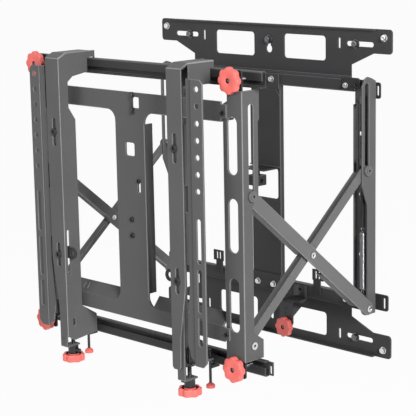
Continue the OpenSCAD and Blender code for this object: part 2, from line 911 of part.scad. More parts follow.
module cross_plate() {
    color(steel) {
        face_plate(channel_front, sheet) cross_plate_outline();
        both_sides() {
            box([web_half, -channel_front - eps, low_bar_high + web_fillet + 4],
                [web_half - sheet, -web_flange_back, top_bar_low - web_fillet]);
            box([web_half + web_fillet + 2, -channel_front - eps, top_bar_low],
                [bar_half - 3, -flange_back, top_bar_low + sheet]);
            low_bar_flange();
            box([web_half, -channel_front - eps, low_bar_low],
                [bar_half - 3, -channel_front + 10, low_bar_low + sheet]);
        }
    }
}

// Screws of the cross plate: two round heads on the web, one in the keyhole, four at the ends
module cross_plate_screws() {
    head_y = plate_front + 0.2;
    color(dark_steel) {
        for (z = stud_heights) {
            along_y(0, z, head_y, head_y + 2.4, 9);
            along_y(0, z, channel_front - 4, head_y + 0.1, 5);
        }
        along_y(key_x, 46, head_y, head_y + 2.4, 8);
        along_y(key_x, 46, channel_front - 4, head_y + 0.1, 5);
        for (s = [-1, 1], z = end_screws) {
            along_y(s * (channel_edge + 5), z, head_y, head_y + 2, 7.5);
            along_y(s * (channel_edge + 5), z, channel_back - 2, head_y + 0.1, 4);
        }
    }
}

// Upright latch rod on the upper bar, with a small head at each end
module latch_rod() {
    color(black) {
        along_z(rod_x, rod_y, rod_low, rod_high, rod_d);
        along_z(rod_x, rod_y, rod_low - 2, rod_low + eps, rod_d + 1.2);
        along_z(rod_x, rod_y, rod_high - eps, rod_high + 2, rod_d + 1.2);
    }
}

// Two clips that guide the latch rod on the cross plate
module rod_clips() {
    color(black) for (z = [rod_low + 6, rod_high - 5.5])
        difference() {
            union() {
                box([rod_x - rod_d, -plate_front - 0.2, z - 2], [rod_x + rod_d, -rod_y, z + 2]);
                along_z(rod_x, rod_y, z - 2, z + 2, rod_d + 1.5);
            }
            along_z(rod_x, rod_y, z - 3, z + 3, rod_d + 2 * fit);
        }
}

// Plates that carry the depth screws, one behind the end of each front channel
module rail_bracket() {
    back = channel_back - 0.2;
    difference() {
        face_plate(back - 2.5, 2.5) difference() {
            round_area([204.5, 168], [234.5, rail_high_edge + 3], 4);
            slot_up(face_slot_x, 172, 190, 6);
        }
        along_y(screw_x, screw_z, back - 4, back + 1, screw_d + 2 * fit);
    }
    difference() {
        along_y(screw_x, screw_z, back - 6, back - 2.5 + eps, 12);
        along_y(screw_x, screw_z, back - 7, back, screw_d + 2 * fit);
    }
}

module rail_brackets() {
    color(dark_steel) both_sides() {
        rail_bracket();
        mirror([0, 0, 1]) rail_bracket();
    }
}

// Section of the upper screen rail as Y and Z, open to the front
module screen_rail_section(ledge) {
    front = screen_rail_y;
    back = front - rail_depth;
    area([-back, rail_low_edge], [-back - rail_t, rail_high_edge]);
    area([-back, rail_high_edge - rail_t], [-front, rail_high_edge]);
    area([-front, rail_high_edge - 13.6], [-front + rail_t, rail_high_edge]);
    area([-back, rail_low_edge], [-front - ledge, rail_low_edge + rail_t]);
}

module screen_rail(ledge) {
    difference() {
        side_plate(-screen_rail_half, 2 * screen_rail_half) screen_rail_section(ledge);
        for (s = [-1, 1])
            along_y(s * screw_x, screw_z, screw_end, screen_rail_y + 6, screw_d + 1.2);
    }
}

module screen_rail_top() {
    color(steel) screen_rail(3);
}

// The lower rail is the same rail turned over, with a slotted tab at each end
module screen_rail_bottom() {
    color(steel) mirror([0, 0, 1]) {
        screen_rail(0);
        for (s = [-1, 1])
            difference() {
                box([s * (screen_rail_half - 4), -screen_rail_y + rail_depth, rail_low_edge + 1],
                    [s * (screen_rail_half + 9.5), -screen_rail_y + rail_depth - rail_t, rail_high_edge - 2]);
                face_plate(screen_rail_y - rail_depth - 5, 12)
                    slot_up(s * (screen_rail_half + 5), rail_low_edge + 7, rail_high_edge - 4, 4);
            }
    }
}

// Nuts on the screen rails that the depth screws turn in
module rail_nuts() {
    back = screen_rail_y - rail_depth - rail_t - 0.2;
    color(zinc) for (s = [-1, 1], t = [-1, 1])
        difference() {
            translate([s * screw_x, -back + 0.3 - rail_t, t * screw_z]) rotate([-90, 0, 0])
                translate([0, 0, rail_t]) cylinder(d = 12.6, h = nut_t - 1, $fn = 6);
            along_y(s * screw_x, t * screw_z, back - 8, back + 4, screw_d + 2 * fit);
        }
}

// Depth knob with its screw
module depth_knob(s, t) {
    translate([s * screw_x, -knob_front + depth_knob_t, t * screw_z]) rotate([90, 0, 0])
        lobed_knob(depth_knob_d, depth_knob_t, 8, 11, 7.5, 0);
    along_y(s * screw_x, t * screw_z, screw_end, knob_front - 4, screw_d);
}

module depth_knob_top_left() {
    color(coral) depth_knob(-1, 1);
}

module depth_knob_top_right() {
    color(coral) depth_knob(1, 1);
}

module depth_knob_low_left() {
    color(coral) depth_knob(-1, -1);
}

module depth_knob_low_right() {
    color(coral) depth_knob(1, -1);
}

// Inner side of a hook channel as Y and Z, with the hook that hangs on the upper rail
module hook_side_outline() {
    clear = 1;
    rail_front = screen_rail_y + 3 + clear;
    rail_back_y = screen_rail_y - rail_depth - clear;
    difference() {
        polygon([[-hook_front, -222], [-hook_front, web_top], [-347, hook_top], [-hook_rear, hook_top],
            [-hook_rear, 214], [-rail_back_y, 214], [-rail_back_y, rail_high_edge + clear],
            [-rail_front, rail_high_edge + clear], [-rail_front, 206], [-333, 201], [-hook_neck, 193],
            [-hook_neck, 152], [-hook_back, 132], [-hook_back, -176], [-screen_rail_y - 1.5, -196],
            [-screen_rail_y - 1.5, -226], [-hook_front + 14, -232]]);
        slot_up(-353.5, -121, -46, 5);
        slot_up(-347, -208, -194, 5);
    }
}

// Outer cheek of the hook as Y and Z
module hook_cheek_outline() {
    clear = 1;
    rail_front = screen_rail_y + 3 + clear;
    polygon([[-347, 205], [-347, hook_top], [-cheek_rear, hook_top],
        [-cheek_rear, rail_high_edge + clear], [-rail_front, rail_high_edge + clear], [-rail_front, 205]]);
}

module hook_channel() {
    face_plate(hook_front - hook_t, hook_t) difference() {
        polygon([[hook_x, -222], [hook_x, web_top], [hook_out, web_top], [hook_out, -95],
            [hook_out - 12.5, -175], [hook_out - 14, -222], [hook_out - 17, -226], [hook_x + 3, -226]]);
        slot_up(height_x + 1, 91.5, 136.5, 8.4);
        slot_up(height_x + 1, -107, -67, 8.4);
    }
    side_plate(hook_x, hook_t) hook_side_outline();
    side_plate(hook_out - hook_t, hook_t) hook_cheek_outline();
    side_plate(hook_x, hook_w) polygon([[-hook_front, web_top], [-hook_front + 3, web_top - 2],
        [-347 + 1, hook_top - hook_t], [-cheek_rear, hook_top - hook_t], [-cheek_rear, hook_top],
        [-347, hook_top]]);
    difference() {
        box([hook_x, -hook_front + hook_t + 6, -222], [hook_x + 26, -screen_rail_y - 1.5, -219]);
        along_z(height_x, height_y, -230, -210, 9.4);
        along_z(pull_x, pull_y, -230, -210, 6);
        box([hook_x + 5, -hook_front, -230], [hook_x + 30, -347.3, -210]);
    }
}

module hook_channel_left() {
    color(steel) on_side(-1) hook_channel();
}

module hook_channel_right() {
    color(steel) on_side(1) hook_channel();
}

// Plate with the screen's mounting holes, its joggled strip and the tongue inside the channel
module hole_plate() {
    strip = 173;
    step = 2.5;
    face_plate(hole_plate_y - hole_plate_t, hole_plate_t) difference() {
        polygon([[strip - 1, -213], [strip - 1, 218], [hole_plate_edge - 5, 218], [hole_plate_edge, 213],
            [hole_plate_edge, -205], [hole_plate_edge - 8, -213]]);
        for (i = [0:hole_count - 1]) translate([hole_x, hole_top_z - i * hole_pitch]) circle(d = hole_d);
        slot_up(hole_x, -54.1, 13.3, hole_d);
        slot_up(hole_x, -128.8, -62.7, hole_d);
        slot_up(hole_x, -180.6, -135.9, hole_d);
    }
    face_plate(hole_plate_y - hole_plate_t - step, hole_plate_t + 0.5)
        polygon([[hole_plate_x, -95], [hole_plate_x, 218], [strip, 218], [strip, -213],
            [plate_lean_x + 6, -200], [plate_lean_x, -175]]);
    inner = hook_front - hook_t - 1;
    face_plate(inner - 2.5, 2.5) difference() {
        union() {
            area([hook_x + 7, -244], [hook_x + 23, 180]);
            area([hook_x + 7, 60], [hole_plate_x + 6, 150]);
            area([hook_x + 7, -60], [hole_plate_x + 6, 20]);
        }
        for (z = [114, -87]) translate([height_x + 1, z]) circle(d = 5.2);
        slot_up(height_x + 1, 0, 30, 6);
    }
    difference() {
        box([hook_x + 7, -inner + 2.5 - eps, -244], [hook_x + 23, -height_y + 9, -241]);
        along_z(height_x, height_y, -246, -240, 8);
    }
}

module hole_plate_left() {
    color(steel) on_side(-1) hole_plate();
}

module hole_plate_right() {
    color(steel) on_side(1) hole_plate();
}

// Guide bolts of a hole plate, through the upright slots of the hook channel
module guide_bolts(s) {
    on_side(s) for (z = [114, -87]) {
        along_y(height_x + 1, z, hook_front + 0.3, hook_front + 2.6, 12);
        along_y(height_x + 1, z, hook_front - hook_t - 6, hook_front + 0.4, 5);
        translate([height_x + 1, -hook_front + hook_t + 3.7, z]) rotate([-90, 0, 0])
            cylinder(d = 9.2, h = 3.4, $fn = 6);
    }
}

module guide_bolts_left() {
    color(dark_steel) guide_bolts(-1);
}

module guide_bolts_right() {
    color(dark_steel) guide_bolts(1);
}

// Height knob with its collar and screw
module height_knob(s) {
    on_side(s) {
        translate([height_x, -height_y, height_z - height_knob_t])
            lobed_knob(height_knob_d, height_knob_t, 7, 12, height_knob_d * 0.7, height_knob_d * 0.5);
        along_z(height_x, height_y, height_z - eps, -195, 7);
    }
}

module height_knob_left() {
    color(coral) height_knob(-1);
}

module height_knob_right() {
    color(coral) height_knob(1);
}

// Collar over a height knob, with a small wing that points inwards
module height_collar(s) {
    on_side(s) difference() {
        union() {
            along_z(height_x, height_y, height_z + seat, -244.3, 17);
            box([height_x - 15, -height_y - 3, height_z + 5], [height_x, -height_y + 3, height_z + 9.5]);
            translate([height_x - 15, -height_y, height_z + 5]) cylinder(d = 6, h = 4.5);
        }
        along_z(height_x, height_y, height_z - 1, -240, 7 + 2 * fit);
    }
}

module height_collar_left() {
    color(black) height_collar(-1);
}

module height_collar_right() {
    color(black) height_collar(1);
}

// Pull rod: button below, catch finger behind the lower rail above
module pull_rod(s) {
    finger_y = screen_rail_y - rail_depth - 1;
    on_side(s) {
        translate([pull_x, -pull_y, button_z - 8]) {
            cylinder(d = button_d, h = 4.5);
            translate([0, 0, 4.5]) cylinder(d1 = button_d, d2 = 6, h = 3.5);
        }
        along_z(pull_x, pull_y, button_z - 1, -205, 4.4);
        difference() {
            box([pull_x - 3, -pull_y, -236], [pull_x + 3, -finger_y + 4, -rail_high_edge - 1]);
            box([pull_x - 4, -pull_y - 4, -rail_high_edge - 1], [pull_x + 4, -finger_y, -200]);
        }
        box([pull_x - 3, -finger_y, -rail_high_edge - 2], [pull_x + 3, -finger_y + 4, -221]);
    }
}

module pull_rod_left() {
    color(black) pull_rod(-1);
}

module pull_rod_right() {
    color(black) pull_rod(1);
}

// Ring tab that slides in the slot on the inner side of a hook channel
module lock_tab(s) {
    z = -83;
    y = 353.5;
    on_side(s) {
        face_plate(y - 1.6, 3.2) difference() {
            union() {
                translate([hook_x - 9.5, z]) circle(d = 19);
                area([hook_x - 9.5, z - 9.5], [hook_x - 0.4, z + 9.5]);
                area([hook_x - 1, z - 6], [hook_x + 6, z + 6]);
            }
            translate([hook_x - 9.5, z]) circle(d = 9.5);
        }
        box([hook_x + hook_t + 0.3, -y + 4, z - 10], [hook_x + hook_t + 2.5, -y - 2, z + 10]);
    }
}

module lock_tab_left() {
    color(dark_steel) lock_tab(-1);
}

module lock_tab_right() {
    color(dark_steel) lock_tab(1);
}

wall_plate_top();
wall_plate_bottom();
wall_rail_left();
wall_rail_right();
cross_channel_top();
cross_channel_bottom();
wall_column();
column_cover();
latch_catch();
corner_gussets();
cable_tabs();
wall_bolts();
spring_anchors();
spring_left();
spring_right();
lock_bracket();
lock_knob();
arm_a_left();
arm_a_right();
arm_b_left();
arm_b_right();
wall_pivot_pins();
centre_pin_left();
centre_pin_right();
front_pivot_pins();
slider_pin_a_left();
slider_pin_a_right();
slider_pin_b_left();
slider_pin_b_right();
spring_link_left();
spring_link_right();
front_channel_left();
front_channel_right();
cross_plate();
cross_plate_screws();
latch_rod();
rod_clips();
rail_brackets();
screen_rail_top();
screen_rail_bottom();
rail_nuts();
depth_knob_top_left();
depth_knob_top_right();
depth_knob_low_left();
depth_knob_low_right();
hook_channel_left();
hook_channel_right();
hole_plate_left();
hole_plate_right();
guide_bolts_left();
guide_bolts_right();
height_knob_left();
height_knob_right();
height_collar_left();
height_collar_right();
pull_rod_left();
pull_rod_right();
lock_tab_left();
lock_tab_right();
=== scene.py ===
"""Finishes a pull-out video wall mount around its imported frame.

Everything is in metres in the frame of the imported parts: X along the wall, Y into the wall, Z up.
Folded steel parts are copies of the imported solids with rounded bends. Pins, screws, knobs and
springs are surfaces worked out here from two parameters.
"""

import json
import math

import bmesh
import bpy
import numpy as np
from bpy.props import FloatProperty, FloatVectorProperty, IntProperty, PointerProperty
from mathutils import Matrix, Vector
from mathutils.bvhtree import BVHTree
from mathutils.geometry import intersect_point_line

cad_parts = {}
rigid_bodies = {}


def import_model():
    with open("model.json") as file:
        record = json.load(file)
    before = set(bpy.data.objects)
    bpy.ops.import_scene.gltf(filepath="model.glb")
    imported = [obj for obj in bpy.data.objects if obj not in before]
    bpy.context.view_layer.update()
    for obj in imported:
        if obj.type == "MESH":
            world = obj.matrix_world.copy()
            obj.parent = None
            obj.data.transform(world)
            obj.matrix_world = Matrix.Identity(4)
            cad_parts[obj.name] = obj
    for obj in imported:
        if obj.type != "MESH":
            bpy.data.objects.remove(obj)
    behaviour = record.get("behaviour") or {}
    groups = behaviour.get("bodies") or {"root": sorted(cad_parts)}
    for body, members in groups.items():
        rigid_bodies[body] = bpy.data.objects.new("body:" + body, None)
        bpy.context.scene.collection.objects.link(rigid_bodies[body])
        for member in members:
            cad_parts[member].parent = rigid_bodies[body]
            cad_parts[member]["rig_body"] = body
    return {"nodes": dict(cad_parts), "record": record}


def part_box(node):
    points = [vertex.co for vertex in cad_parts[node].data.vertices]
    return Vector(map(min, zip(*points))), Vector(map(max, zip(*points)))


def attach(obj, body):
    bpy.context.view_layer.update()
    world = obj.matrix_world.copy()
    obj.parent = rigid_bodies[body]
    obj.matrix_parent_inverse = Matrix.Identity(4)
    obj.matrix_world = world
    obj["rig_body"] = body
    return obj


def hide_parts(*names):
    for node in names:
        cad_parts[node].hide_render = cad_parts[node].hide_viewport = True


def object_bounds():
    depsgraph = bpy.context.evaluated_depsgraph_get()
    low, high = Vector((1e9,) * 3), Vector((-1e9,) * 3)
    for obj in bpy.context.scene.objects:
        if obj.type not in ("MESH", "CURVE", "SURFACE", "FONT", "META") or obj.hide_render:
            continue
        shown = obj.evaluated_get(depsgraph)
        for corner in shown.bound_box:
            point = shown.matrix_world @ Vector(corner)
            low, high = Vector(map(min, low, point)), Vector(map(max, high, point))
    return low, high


bl_info = {
    "name": "Video wall mount",
    "version": (1, 0, 0),
    "blender": (4, 5, 0),
    "location": "3D View > Sidebar > Wall mount",
    "description": "Finishes a pull-out video wall mount around its packed frame",
    "category": "Object",
}

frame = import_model()
cad_low, cad_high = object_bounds()
MM = 0.001
BODY_OF = {name: node["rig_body"] for name, node in frame["nodes"].items()}
SLOT_OF = {part["node"]: part["material_slot"] for part in frame["record"]["subparts"]}
SIDES = {"right": 1, "left": -1}
QUARTERS = [(x, z) for x in (-1, 1) for z in (-1, 1)]
FORWARD, UPWARD = (0.0, -1.0, 0.0), (0.0, 0.0, 1.0)
KNOB_X, KNOB_Z = 220 * MM, 216 * MM
SMALL_BEND = 1.2 * MM
HEX_CORNER = 1.1547  # corner radius of a hexagon for each unit of its flat radius

WALL_STEEL = [
    "wall_plate_top", "wall_plate_bottom", "cross_channel_top", "cross_channel_bottom",
    "wall_column", "column_cover", "screen_rail_top", "screen_rail_bottom",
]
ARMS = ["arm_a_left", "arm_a_right", "arm_b_left", "arm_b_right"]
GREY_STEEL = [
    "wall_rail_left", "wall_rail_right", "front_channel_left", "front_channel_right",
    "cross_plate", "hook_channel_left", "hook_channel_right", "hole_plate_left",
    "hole_plate_right",
]
DARK_STEEL = [
    "latch_catch", "corner_gussets", "cable_tabs", "spring_anchors", "lock_bracket",
    "spring_link_left", "spring_link_right", "rod_clips", "rail_brackets",
    "height_collar_left", "height_collar_right", "lock_tab_left", "lock_tab_right",
]


class MountFinish(bpy.types.PropertyGroup):
    """Sizes and colours of the finish."""

    bend_radius: FloatProperty(
        name="Bend radius", description="Outer radius of the folds in the steel sheet",
        default=0.0020, min=0.001, max=0.006, unit="LENGTH")
    inner_bend: FloatProperty(
        name="Inner bend", description="Radius on the inside of a fold",
        default=0.0008, min=0.0002, max=0.003, unit="LENGTH")
    edge_break: FloatProperty(
        name="Edge break", description="Rounding of the cut edges",
        default=0.0004, min=0.0001, max=0.001, unit="LENGTH")
    # How much paler the coat is painted on folds and edges, as a painted highlight.
    edge_highlight: FloatProperty(
        name="Edge wear", description="How much paler the coat is on folds and edges",
        default=2.6, min=1, max=4)
    bend_steps: IntProperty(
        name="Bend steps", description="Faces across one bend", default=4, min=2, max=8)
    coat: FloatVectorProperty(
        name="Powder coat", description="Colour of the front channels, the brackets and the side rails",
        default=(0.108, 0.108, 0.110), min=0, max=1, subtype="COLOR")
    # A lighter copy of the powder coat for the arms: painted light where the lamp on the right falls on
    # their sides.
    arm_lit_coat: FloatVectorProperty(
        name="Arm coat", description="Colour of the scissor arms",
        default=(0.145, 0.145, 0.148), min=0, max=1, subtype="COLOR")
    # A darker copy of the powder coat for the wall parts: painted shade where the front frame shades
    # them.
    wall_shade_coat: FloatVectorProperty(
        name="Wall coat", description="Colour of the wall plates, the column and the screen rails",
        default=(0.044, 0.044, 0.046), min=0, max=1, subtype="COLOR")
    dark_coat: FloatVectorProperty(
        name="Dark coat", description="Colour of the small steel parts",
        default=(0.030, 0.030, 0.032), min=0, max=1, subtype="COLOR")
    black: FloatVectorProperty(
        name="Black parts", description="Colour of the black rods and collars",
        default=(0.014, 0.014, 0.015), min=0, max=1, subtype="COLOR")
    zinc: FloatVectorProperty(
        name="Zinc", description="Colour of the plated pins and bolts",
        default=(0.74, 0.73, 0.71), min=0, max=1, subtype="COLOR")
    wire: FloatVectorProperty(
        name="Spring wire", description="Colour of the spring wire",
        default=(0.24, 0.24, 0.25), min=0, max=1, subtype="COLOR")
    screw: FloatVectorProperty(
        name="Dark screws", description="Colour of the dark screws and threads",
        default=(0.15, 0.15, 0.16), min=0, max=1, subtype="COLOR")
    coral: FloatVectorProperty(
        name="Knobs", description="Colour of the front knobs",
        default=(0.95, 0.175, 0.150), min=0, max=1, subtype="COLOR")
    # A darker copy of the knobs' coral for the rear knob: painted shade, as it sits back in the shade
    # of the frame.
    shaded_coral: FloatVectorProperty(
        name="Rear knob", description="Colour of the rear lock knob",
        default=(0.62, 0.115, 0.100), min=0, max=1, subtype="COLOR")
    thread_pitch: FloatProperty(
        name="Thread pitch", description="Distance between two threads of a screw",
        default=0.00125, min=0.0005, max=0.002, unit="LENGTH")
    knob_rim: FloatProperty(
        name="Knob rim", description="Rounding of the knobs' rims",
        default=0.0016, min=0.0005, max=0.004, unit="LENGTH")
    key_light: FloatProperty(
        name="Key light", description="Power of the large lamp in front on the right",
        default=165.0, min=0, unit="POWER")
    fill_light: FloatProperty(
        name="Fill light", description="Power of the lamp in front on the left",
        default=30.0, min=0, unit="POWER")
    soft_light: FloatProperty(
        name="Soft light", description="Strength of the even light from all round",
        default=0.055, min=0, max=1)


def finish():
    """The finish that the operators read."""
    return bpy.context.scene.mount_finish


class Value:
    """A shader socket whose arithmetic adds Math nodes."""

    def __init__(self, paint, socket):
        self.paint, self.socket = paint, socket

    def _math(self, operation, a, b):
        return self.paint.node("ShaderNodeMath", {"operation": operation}, {0: a, 1: b}).value(0)

    def __add__(self, other):
        return self._math("ADD", self, other)

    __radd__ = __add__

    def __sub__(self, other):
        return self._math("SUBTRACT", self, other)

    def __rsub__(self, other):
        return self._math("SUBTRACT", other, self)

    def __mul__(self, other):
        return self._math("MULTIPLY", self, other)

    __rmul__ = __mul__


class Made:
    """A node that was made, with its outputs as values."""

    def __init__(self, paint, made):
        self.paint, self.made = paint, made

    def value(self, output):
        return Value(self.paint, self.made.outputs[output])


class Paint:
    """The nodes of a material, or of the world."""

    def __init__(self, owner, shader="Principled BSDF"):
        self.owner = owner
        owner.use_nodes = True
        self.tree = owner.node_tree
        self.shader = self.tree.nodes[shader]

    def node(self, kind, settings=None, sockets=None):
        """Adds a node of a kind, sets its settings, then its sockets to values or links."""
        made = self.tree.nodes.new(kind)
        for key, setting in (settings or {}).items():
            setattr(made, key, setting)
        for key, given in (sockets or {}).items():
            self.set(made.inputs[key], given)
        return Made(self, made)

    def set(self, socket, given):
        """Links a value to a socket, or sets the socket to a constant."""
        if isinstance(given, Value):
            self.tree.links.new(given.socket, socket)
        else:
            socket.default_value = given

    def surface(self, **sockets):
        """Sets the shader's sockets, named with _ for each space."""
        for key, given in sockets.items():
            self.set(self.shader.inputs[key.replace("_", " ")], given)

    def place(self):
        """The place on the piece, in metres."""
        return self.node("ShaderNodeTexCoord").value("Object")

    def noise(self, place, scale, detail=2.0):
        """Noise from 0 to 1 with this many features to the metre."""
        sockets = {"Vector": place, "Scale": scale, "Detail": detail}
        return self.node("ShaderNodeTexNoise", None, sockets).value("Fac")

    def blend(self, mask, dark, light):
        """A colour between two, by a mask."""
        sockets = {0: mask, 6: (*dark, 1), 7: (*light, 1)}
        return self.node("ShaderNodeMix", {"data_type": "RGBA"}, sockets).value(2)

    def bump(self, height, strength, distance):
        """A relief of this strength, the distance in metres."""
        sockets = {"Height": height, "Strength": strength, "Distance": distance}
        return self.node("ShaderNodeBump", None, sockets).value("Normal")

    def seen(self):
        """One for rays from the camera, from gloss and through glass, and nought for the rest."""
        path = self.node("ShaderNodeLightPath")
        return (path.value("Is Camera Ray") + path.value("Is Glossy Ray")
                + path.value("Is Transmission Ray"))


def new_paint(name):
    """A new material with its place, from which its patterns start."""
    paint = Paint(bpy.data.materials.new(name))
    return paint, paint.place()


def shade(colour, factor):
    """A colour made darker or lighter, and kept below 1."""
    return tuple(min(1.0, channel * factor) for channel in colour)


def powder_coat(name, colour, spread=0.20):
    """Fine textured coat: pebbled bump, with cloudy and grainy changes of tone by the spread."""
    paint, place = new_paint(name)
    cloud = paint.noise(place, 14.0, 3.0)
    grain = paint.noise(place, 1300.0, 1.0)
    pebble = paint.node(
        "ShaderNodeTexVoronoi", {"feature": "SMOOTH_F1"}, {"Vector": place, "Scale": 1100.0}
    ).value("Distance")
    tone = cloud * 0.55 + grain * 0.45
    paint.surface(
        Base_Color=paint.blend(tone, shade(colour, 1 - spread), shade(colour, 1 + spread)),
        Roughness=0.43 + (grain - 0.5) * 0.20 + (cloud - 0.5) * 0.10,
        Normal=paint.bump(pebble + grain * 0.4, 0.22, 0.00025),
        Specular_IOR_Level=0.18,
    )
    return paint.owner


def satin_black_and_shade(name, colour):
    """Smooth black finish with faint handling marks in its gloss; it also paints the shade in sockets
    and recesses.
    """
    paint, place = new_paint(name)
    haze = paint.noise(place, 60.0, 4.0)
    grain = paint.noise(place, 1500.0, 1.0)
    paint.surface(
        Base_Color=paint.blend(haze, shade(colour, 0.8), shade(colour, 1.3)),
        Roughness=0.36 + (haze - 0.5) * 0.16,
        Normal=paint.bump(grain, 0.08, 0.0001),
    )
    return paint.owner


def plated(name, colour, roughness):
    """Plated metal: spangled tone, and fine turning lines in its gloss and relief."""
    paint, place = new_paint(name)
    stretched = paint.node(
        "ShaderNodeMapping", None, {"Vector": place, "Scale": (3.0, 0.4, 0.4)}
    ).value("Vector")
    lines = paint.noise(stretched, 900.0, 2.0)
    spangle = paint.noise(place, 220.0, 2.0)
    paint.surface(
        Base_Color=paint.blend(spangle, shade(colour, 0.84), shade(colour, 1.10)),
        Metallic=1.0,
        Roughness=roughness + (lines - 0.5) * 0.14 + (spangle - 0.5) * 0.10,
        Normal=paint.bump(lines, 0.10, 0.0001),
    )
    return paint.owner


def moulded(name, colour):
    """Moulded plastic: eggshell skin with a slow change of tone."""
    paint, place = new_paint(name)
    flow = paint.noise(place, 45.0, 3.0)
    skin = paint.noise(place, 1600.0, 1.0)
    paint.surface(
        Base_Color=paint.blend(flow, shade(colour, 0.90), shade(colour, 1.07)),
        Roughness=0.40 + (skin - 0.5) * 0.16 + (flow - 0.5) * 0.08,
        Normal=paint.bump(skin, 0.12, 0.0001),
        Subsurface_Weight=0.06,
        Subsurface_Scale=0.002,
    )
    return paint.owner


def painted_highlight_coat(name, colour):
    """A paler, more speckled copy of the coat for folds and edges: a painted highlight."""
    return powder_coat(name, shade(colour, finish().edge_highlight), 0.5)


PAINTS = {}
# The knobs' black paint is painted shade in their recesses and sockets.
KNOB_PAINTS = ("knob_coral", "black_parts", "dark_screw")


def paint_of(slot):
    """The material of a slot, made once."""
    if slot not in PAINTS:
        look = finish()
        PAINTS[slot] = {
            "grey_coat": lambda: powder_coat("grey_powder_coat", look.coat),
            # Each _edge paint is a paler copy of its coat: a painted highlight on folds and edges.
            "grey_coat_edge": lambda: painted_highlight_coat("grey_coat_edge", look.coat),
            # A lighter copy of the coat: painted light on the arms.
            "arm_lit_coat": lambda: powder_coat("arm_lit_powder_coat", look.arm_lit_coat),
            "arm_lit_coat_edge": lambda: painted_highlight_coat("arm_lit_coat_edge", look.arm_lit_coat),
            # A darker copy of the coat: painted shade on the wall parts.
            "wall_shade_coat": lambda: powder_coat("wall_shade_powder_coat", look.wall_shade_coat),
            "wall_shade_coat_edge": lambda: painted_highlight_coat("wall_shade_coat_edge", look.wall_shade_coat),
            "dark_coat": lambda: powder_coat("dark_powder_coat", look.dark_coat),
            "dark_coat_edge": lambda: painted_highlight_coat("dark_coat_edge", look.dark_coat),
            "black_parts_edge": lambda: painted_highlight_coat("black_parts_edge", look.black),
            # The black paint also stands for painted shade in sockets and recesses.
            "black_parts": lambda: satin_black_and_shade("satin_black_and_shade", look.black),
            "zinc_plated": lambda: plated("bright_zinc", look.zinc, 0.24),
            "spring_wire": lambda: plated("drawn_wire", look.wire, 0.34),
            "dark_screw": lambda: plated("dark_screw_steel", look.screw, 0.34),
            "knob_coral": lambda: moulded("coral_plastic", look.coral),
            # A darker copy of the coral: painted shade on the rear knob.
            "knob_dark_coral": lambda: moulded("shaded_coral_plastic", look.shaded_coral),
        }[slot]()
    return PAINTS[slot]


def settle(piece, node, slot, replaced):
    """Gives a finished piece its paints, puts it on its body and hides the node that it replaces, if it
    replaces one.

    The record's slot is the node's own, whatever paints the piece has.
    """
    for name in [slot] if isinstance(slot, str) else slot:
        piece.data.materials.append(paint_of(name))
    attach(piece, BODY_OF[node])
    if replaced:
        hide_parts(node)
    return piece


def face_reach(solid, face, edge):
    """Least and middle reach of a face from an edge.

    Rays run just inside the material, square to the edge, from five places along it.
    """
    skin = 0.05 * MM
    places = (0.04, 0.27, 0.5, 0.73, 0.96)
    start, end = edge.verts[0].co, edge.verts[1].co
    across = face.normal.cross((end - start).normalized())
    if (face.calc_center_median() - start).dot(across) < 0:
        across = -across
    reaches = []
    for share in places:
        origin = start.lerp(end, share) + (across - face.normal) * skin
        hit = solid.ray_cast(origin, across)
        reaches.append(hit[3] if hit[3] is not None else 0.0)
    reaches.sort()
    return reaches[0], reaches[2]


def end_room(edge):
    """The least room at an edge's ends, where other edges leave it.

    An edge that folds back beside this one leaves room for its length times the sine between them.
    folded_back and straight_on are cosines to this edge, level is an angle between faces.
    """
    folded_back, straight_on, level = 0.02, -0.97, 0.1
    room = 1.0
    for vert in edge.verts:
        here = (edge.other_vert(vert).co - vert.co).normalized()
        for other in vert.link_edges:
            if other is edge or other.calc_length() == 0:
                continue
            way = other.other_vert(vert).co - vert.co
            lean = way.normalized().dot(here)
            if lean > folded_back:
                room = min(room, way.length * math.sqrt(max(0.0, 1 - lean * lean)))
            elif lean > straight_on and other.calc_face_angle(1.0) > level:
                room = min(room, way.length)
    return room


def corner_room(edge):
    """The least distance from an edge to a corner of its faces that no side joins to the edge."""
    start, end = (vert.co for vert in edge.verts)
    near = set(edge.verts)
    for vert in edge.verts:
        near.update(other.other_vert(vert) for other in vert.link_edges)
    room = 1.0
    for face in edge.link_faces:
        for vert in face.verts:
            if vert not in near:
                foot, share = intersect_point_line(vert.co, start, end)
                foot = start.lerp(end, min(1.0, max(0.0, share)))
                room = min(room, (vert.co - foot).length)
    return room


def crossings(mesh):
    """Ends of the sides where a face's outline crosses itself, as an array of places.

    Such a face's triangles add up to more than its own area. Two of its sides cross where each
    has the other's ends on both of its hands, in the plane in which the face is widest.
    """
    least_excess = 0.3 * MM * MM
    mesh.calc_loop_triangles()
    owner = np.zeros(len(mesh.loop_triangles), np.int32)
    mesh.loop_triangles.foreach_get("polygon_index", owner)
    area = np.zeros(len(owner))
    mesh.loop_triangles.foreach_get("area", area)
    own = np.zeros(len(mesh.polygons))
    mesh.polygons.foreach_get("area", own)
    excess = np.bincount(owner, area, minlength=len(own)) - own

    def hand(p, q, r):
        return (q[..., 0] - p[..., 0]) * (r[..., 1] - p[..., 1]) \
            - (q[..., 1] - p[..., 1]) * (r[..., 0] - p[..., 0])

    places = [np.zeros((0, 3))]
    for index in np.flatnonzero(excess > least_excess):
        face = mesh.polygons[int(index)]
        ring = np.array([mesh.vertices[corner].co for corner in face.vertices])
        flat = np.delete(ring, int(np.argmax(np.abs(face.normal))), axis=1)
        a, b = flat[:, None], np.roll(flat, -1, axis=0)[:, None]
        c, d = flat[None], np.roll(flat, -1, axis=0)[None]
        parted = (hand(a, b, c) * hand(a, b, d) < 0) & (hand(c, d, a) * hand(c, d, b) < 0)
        crossed = parted.any(axis=1)
        places += [ring[crossed], np.roll(ring, -1, axis=0)[crossed]]
    return np.concatenate(places)


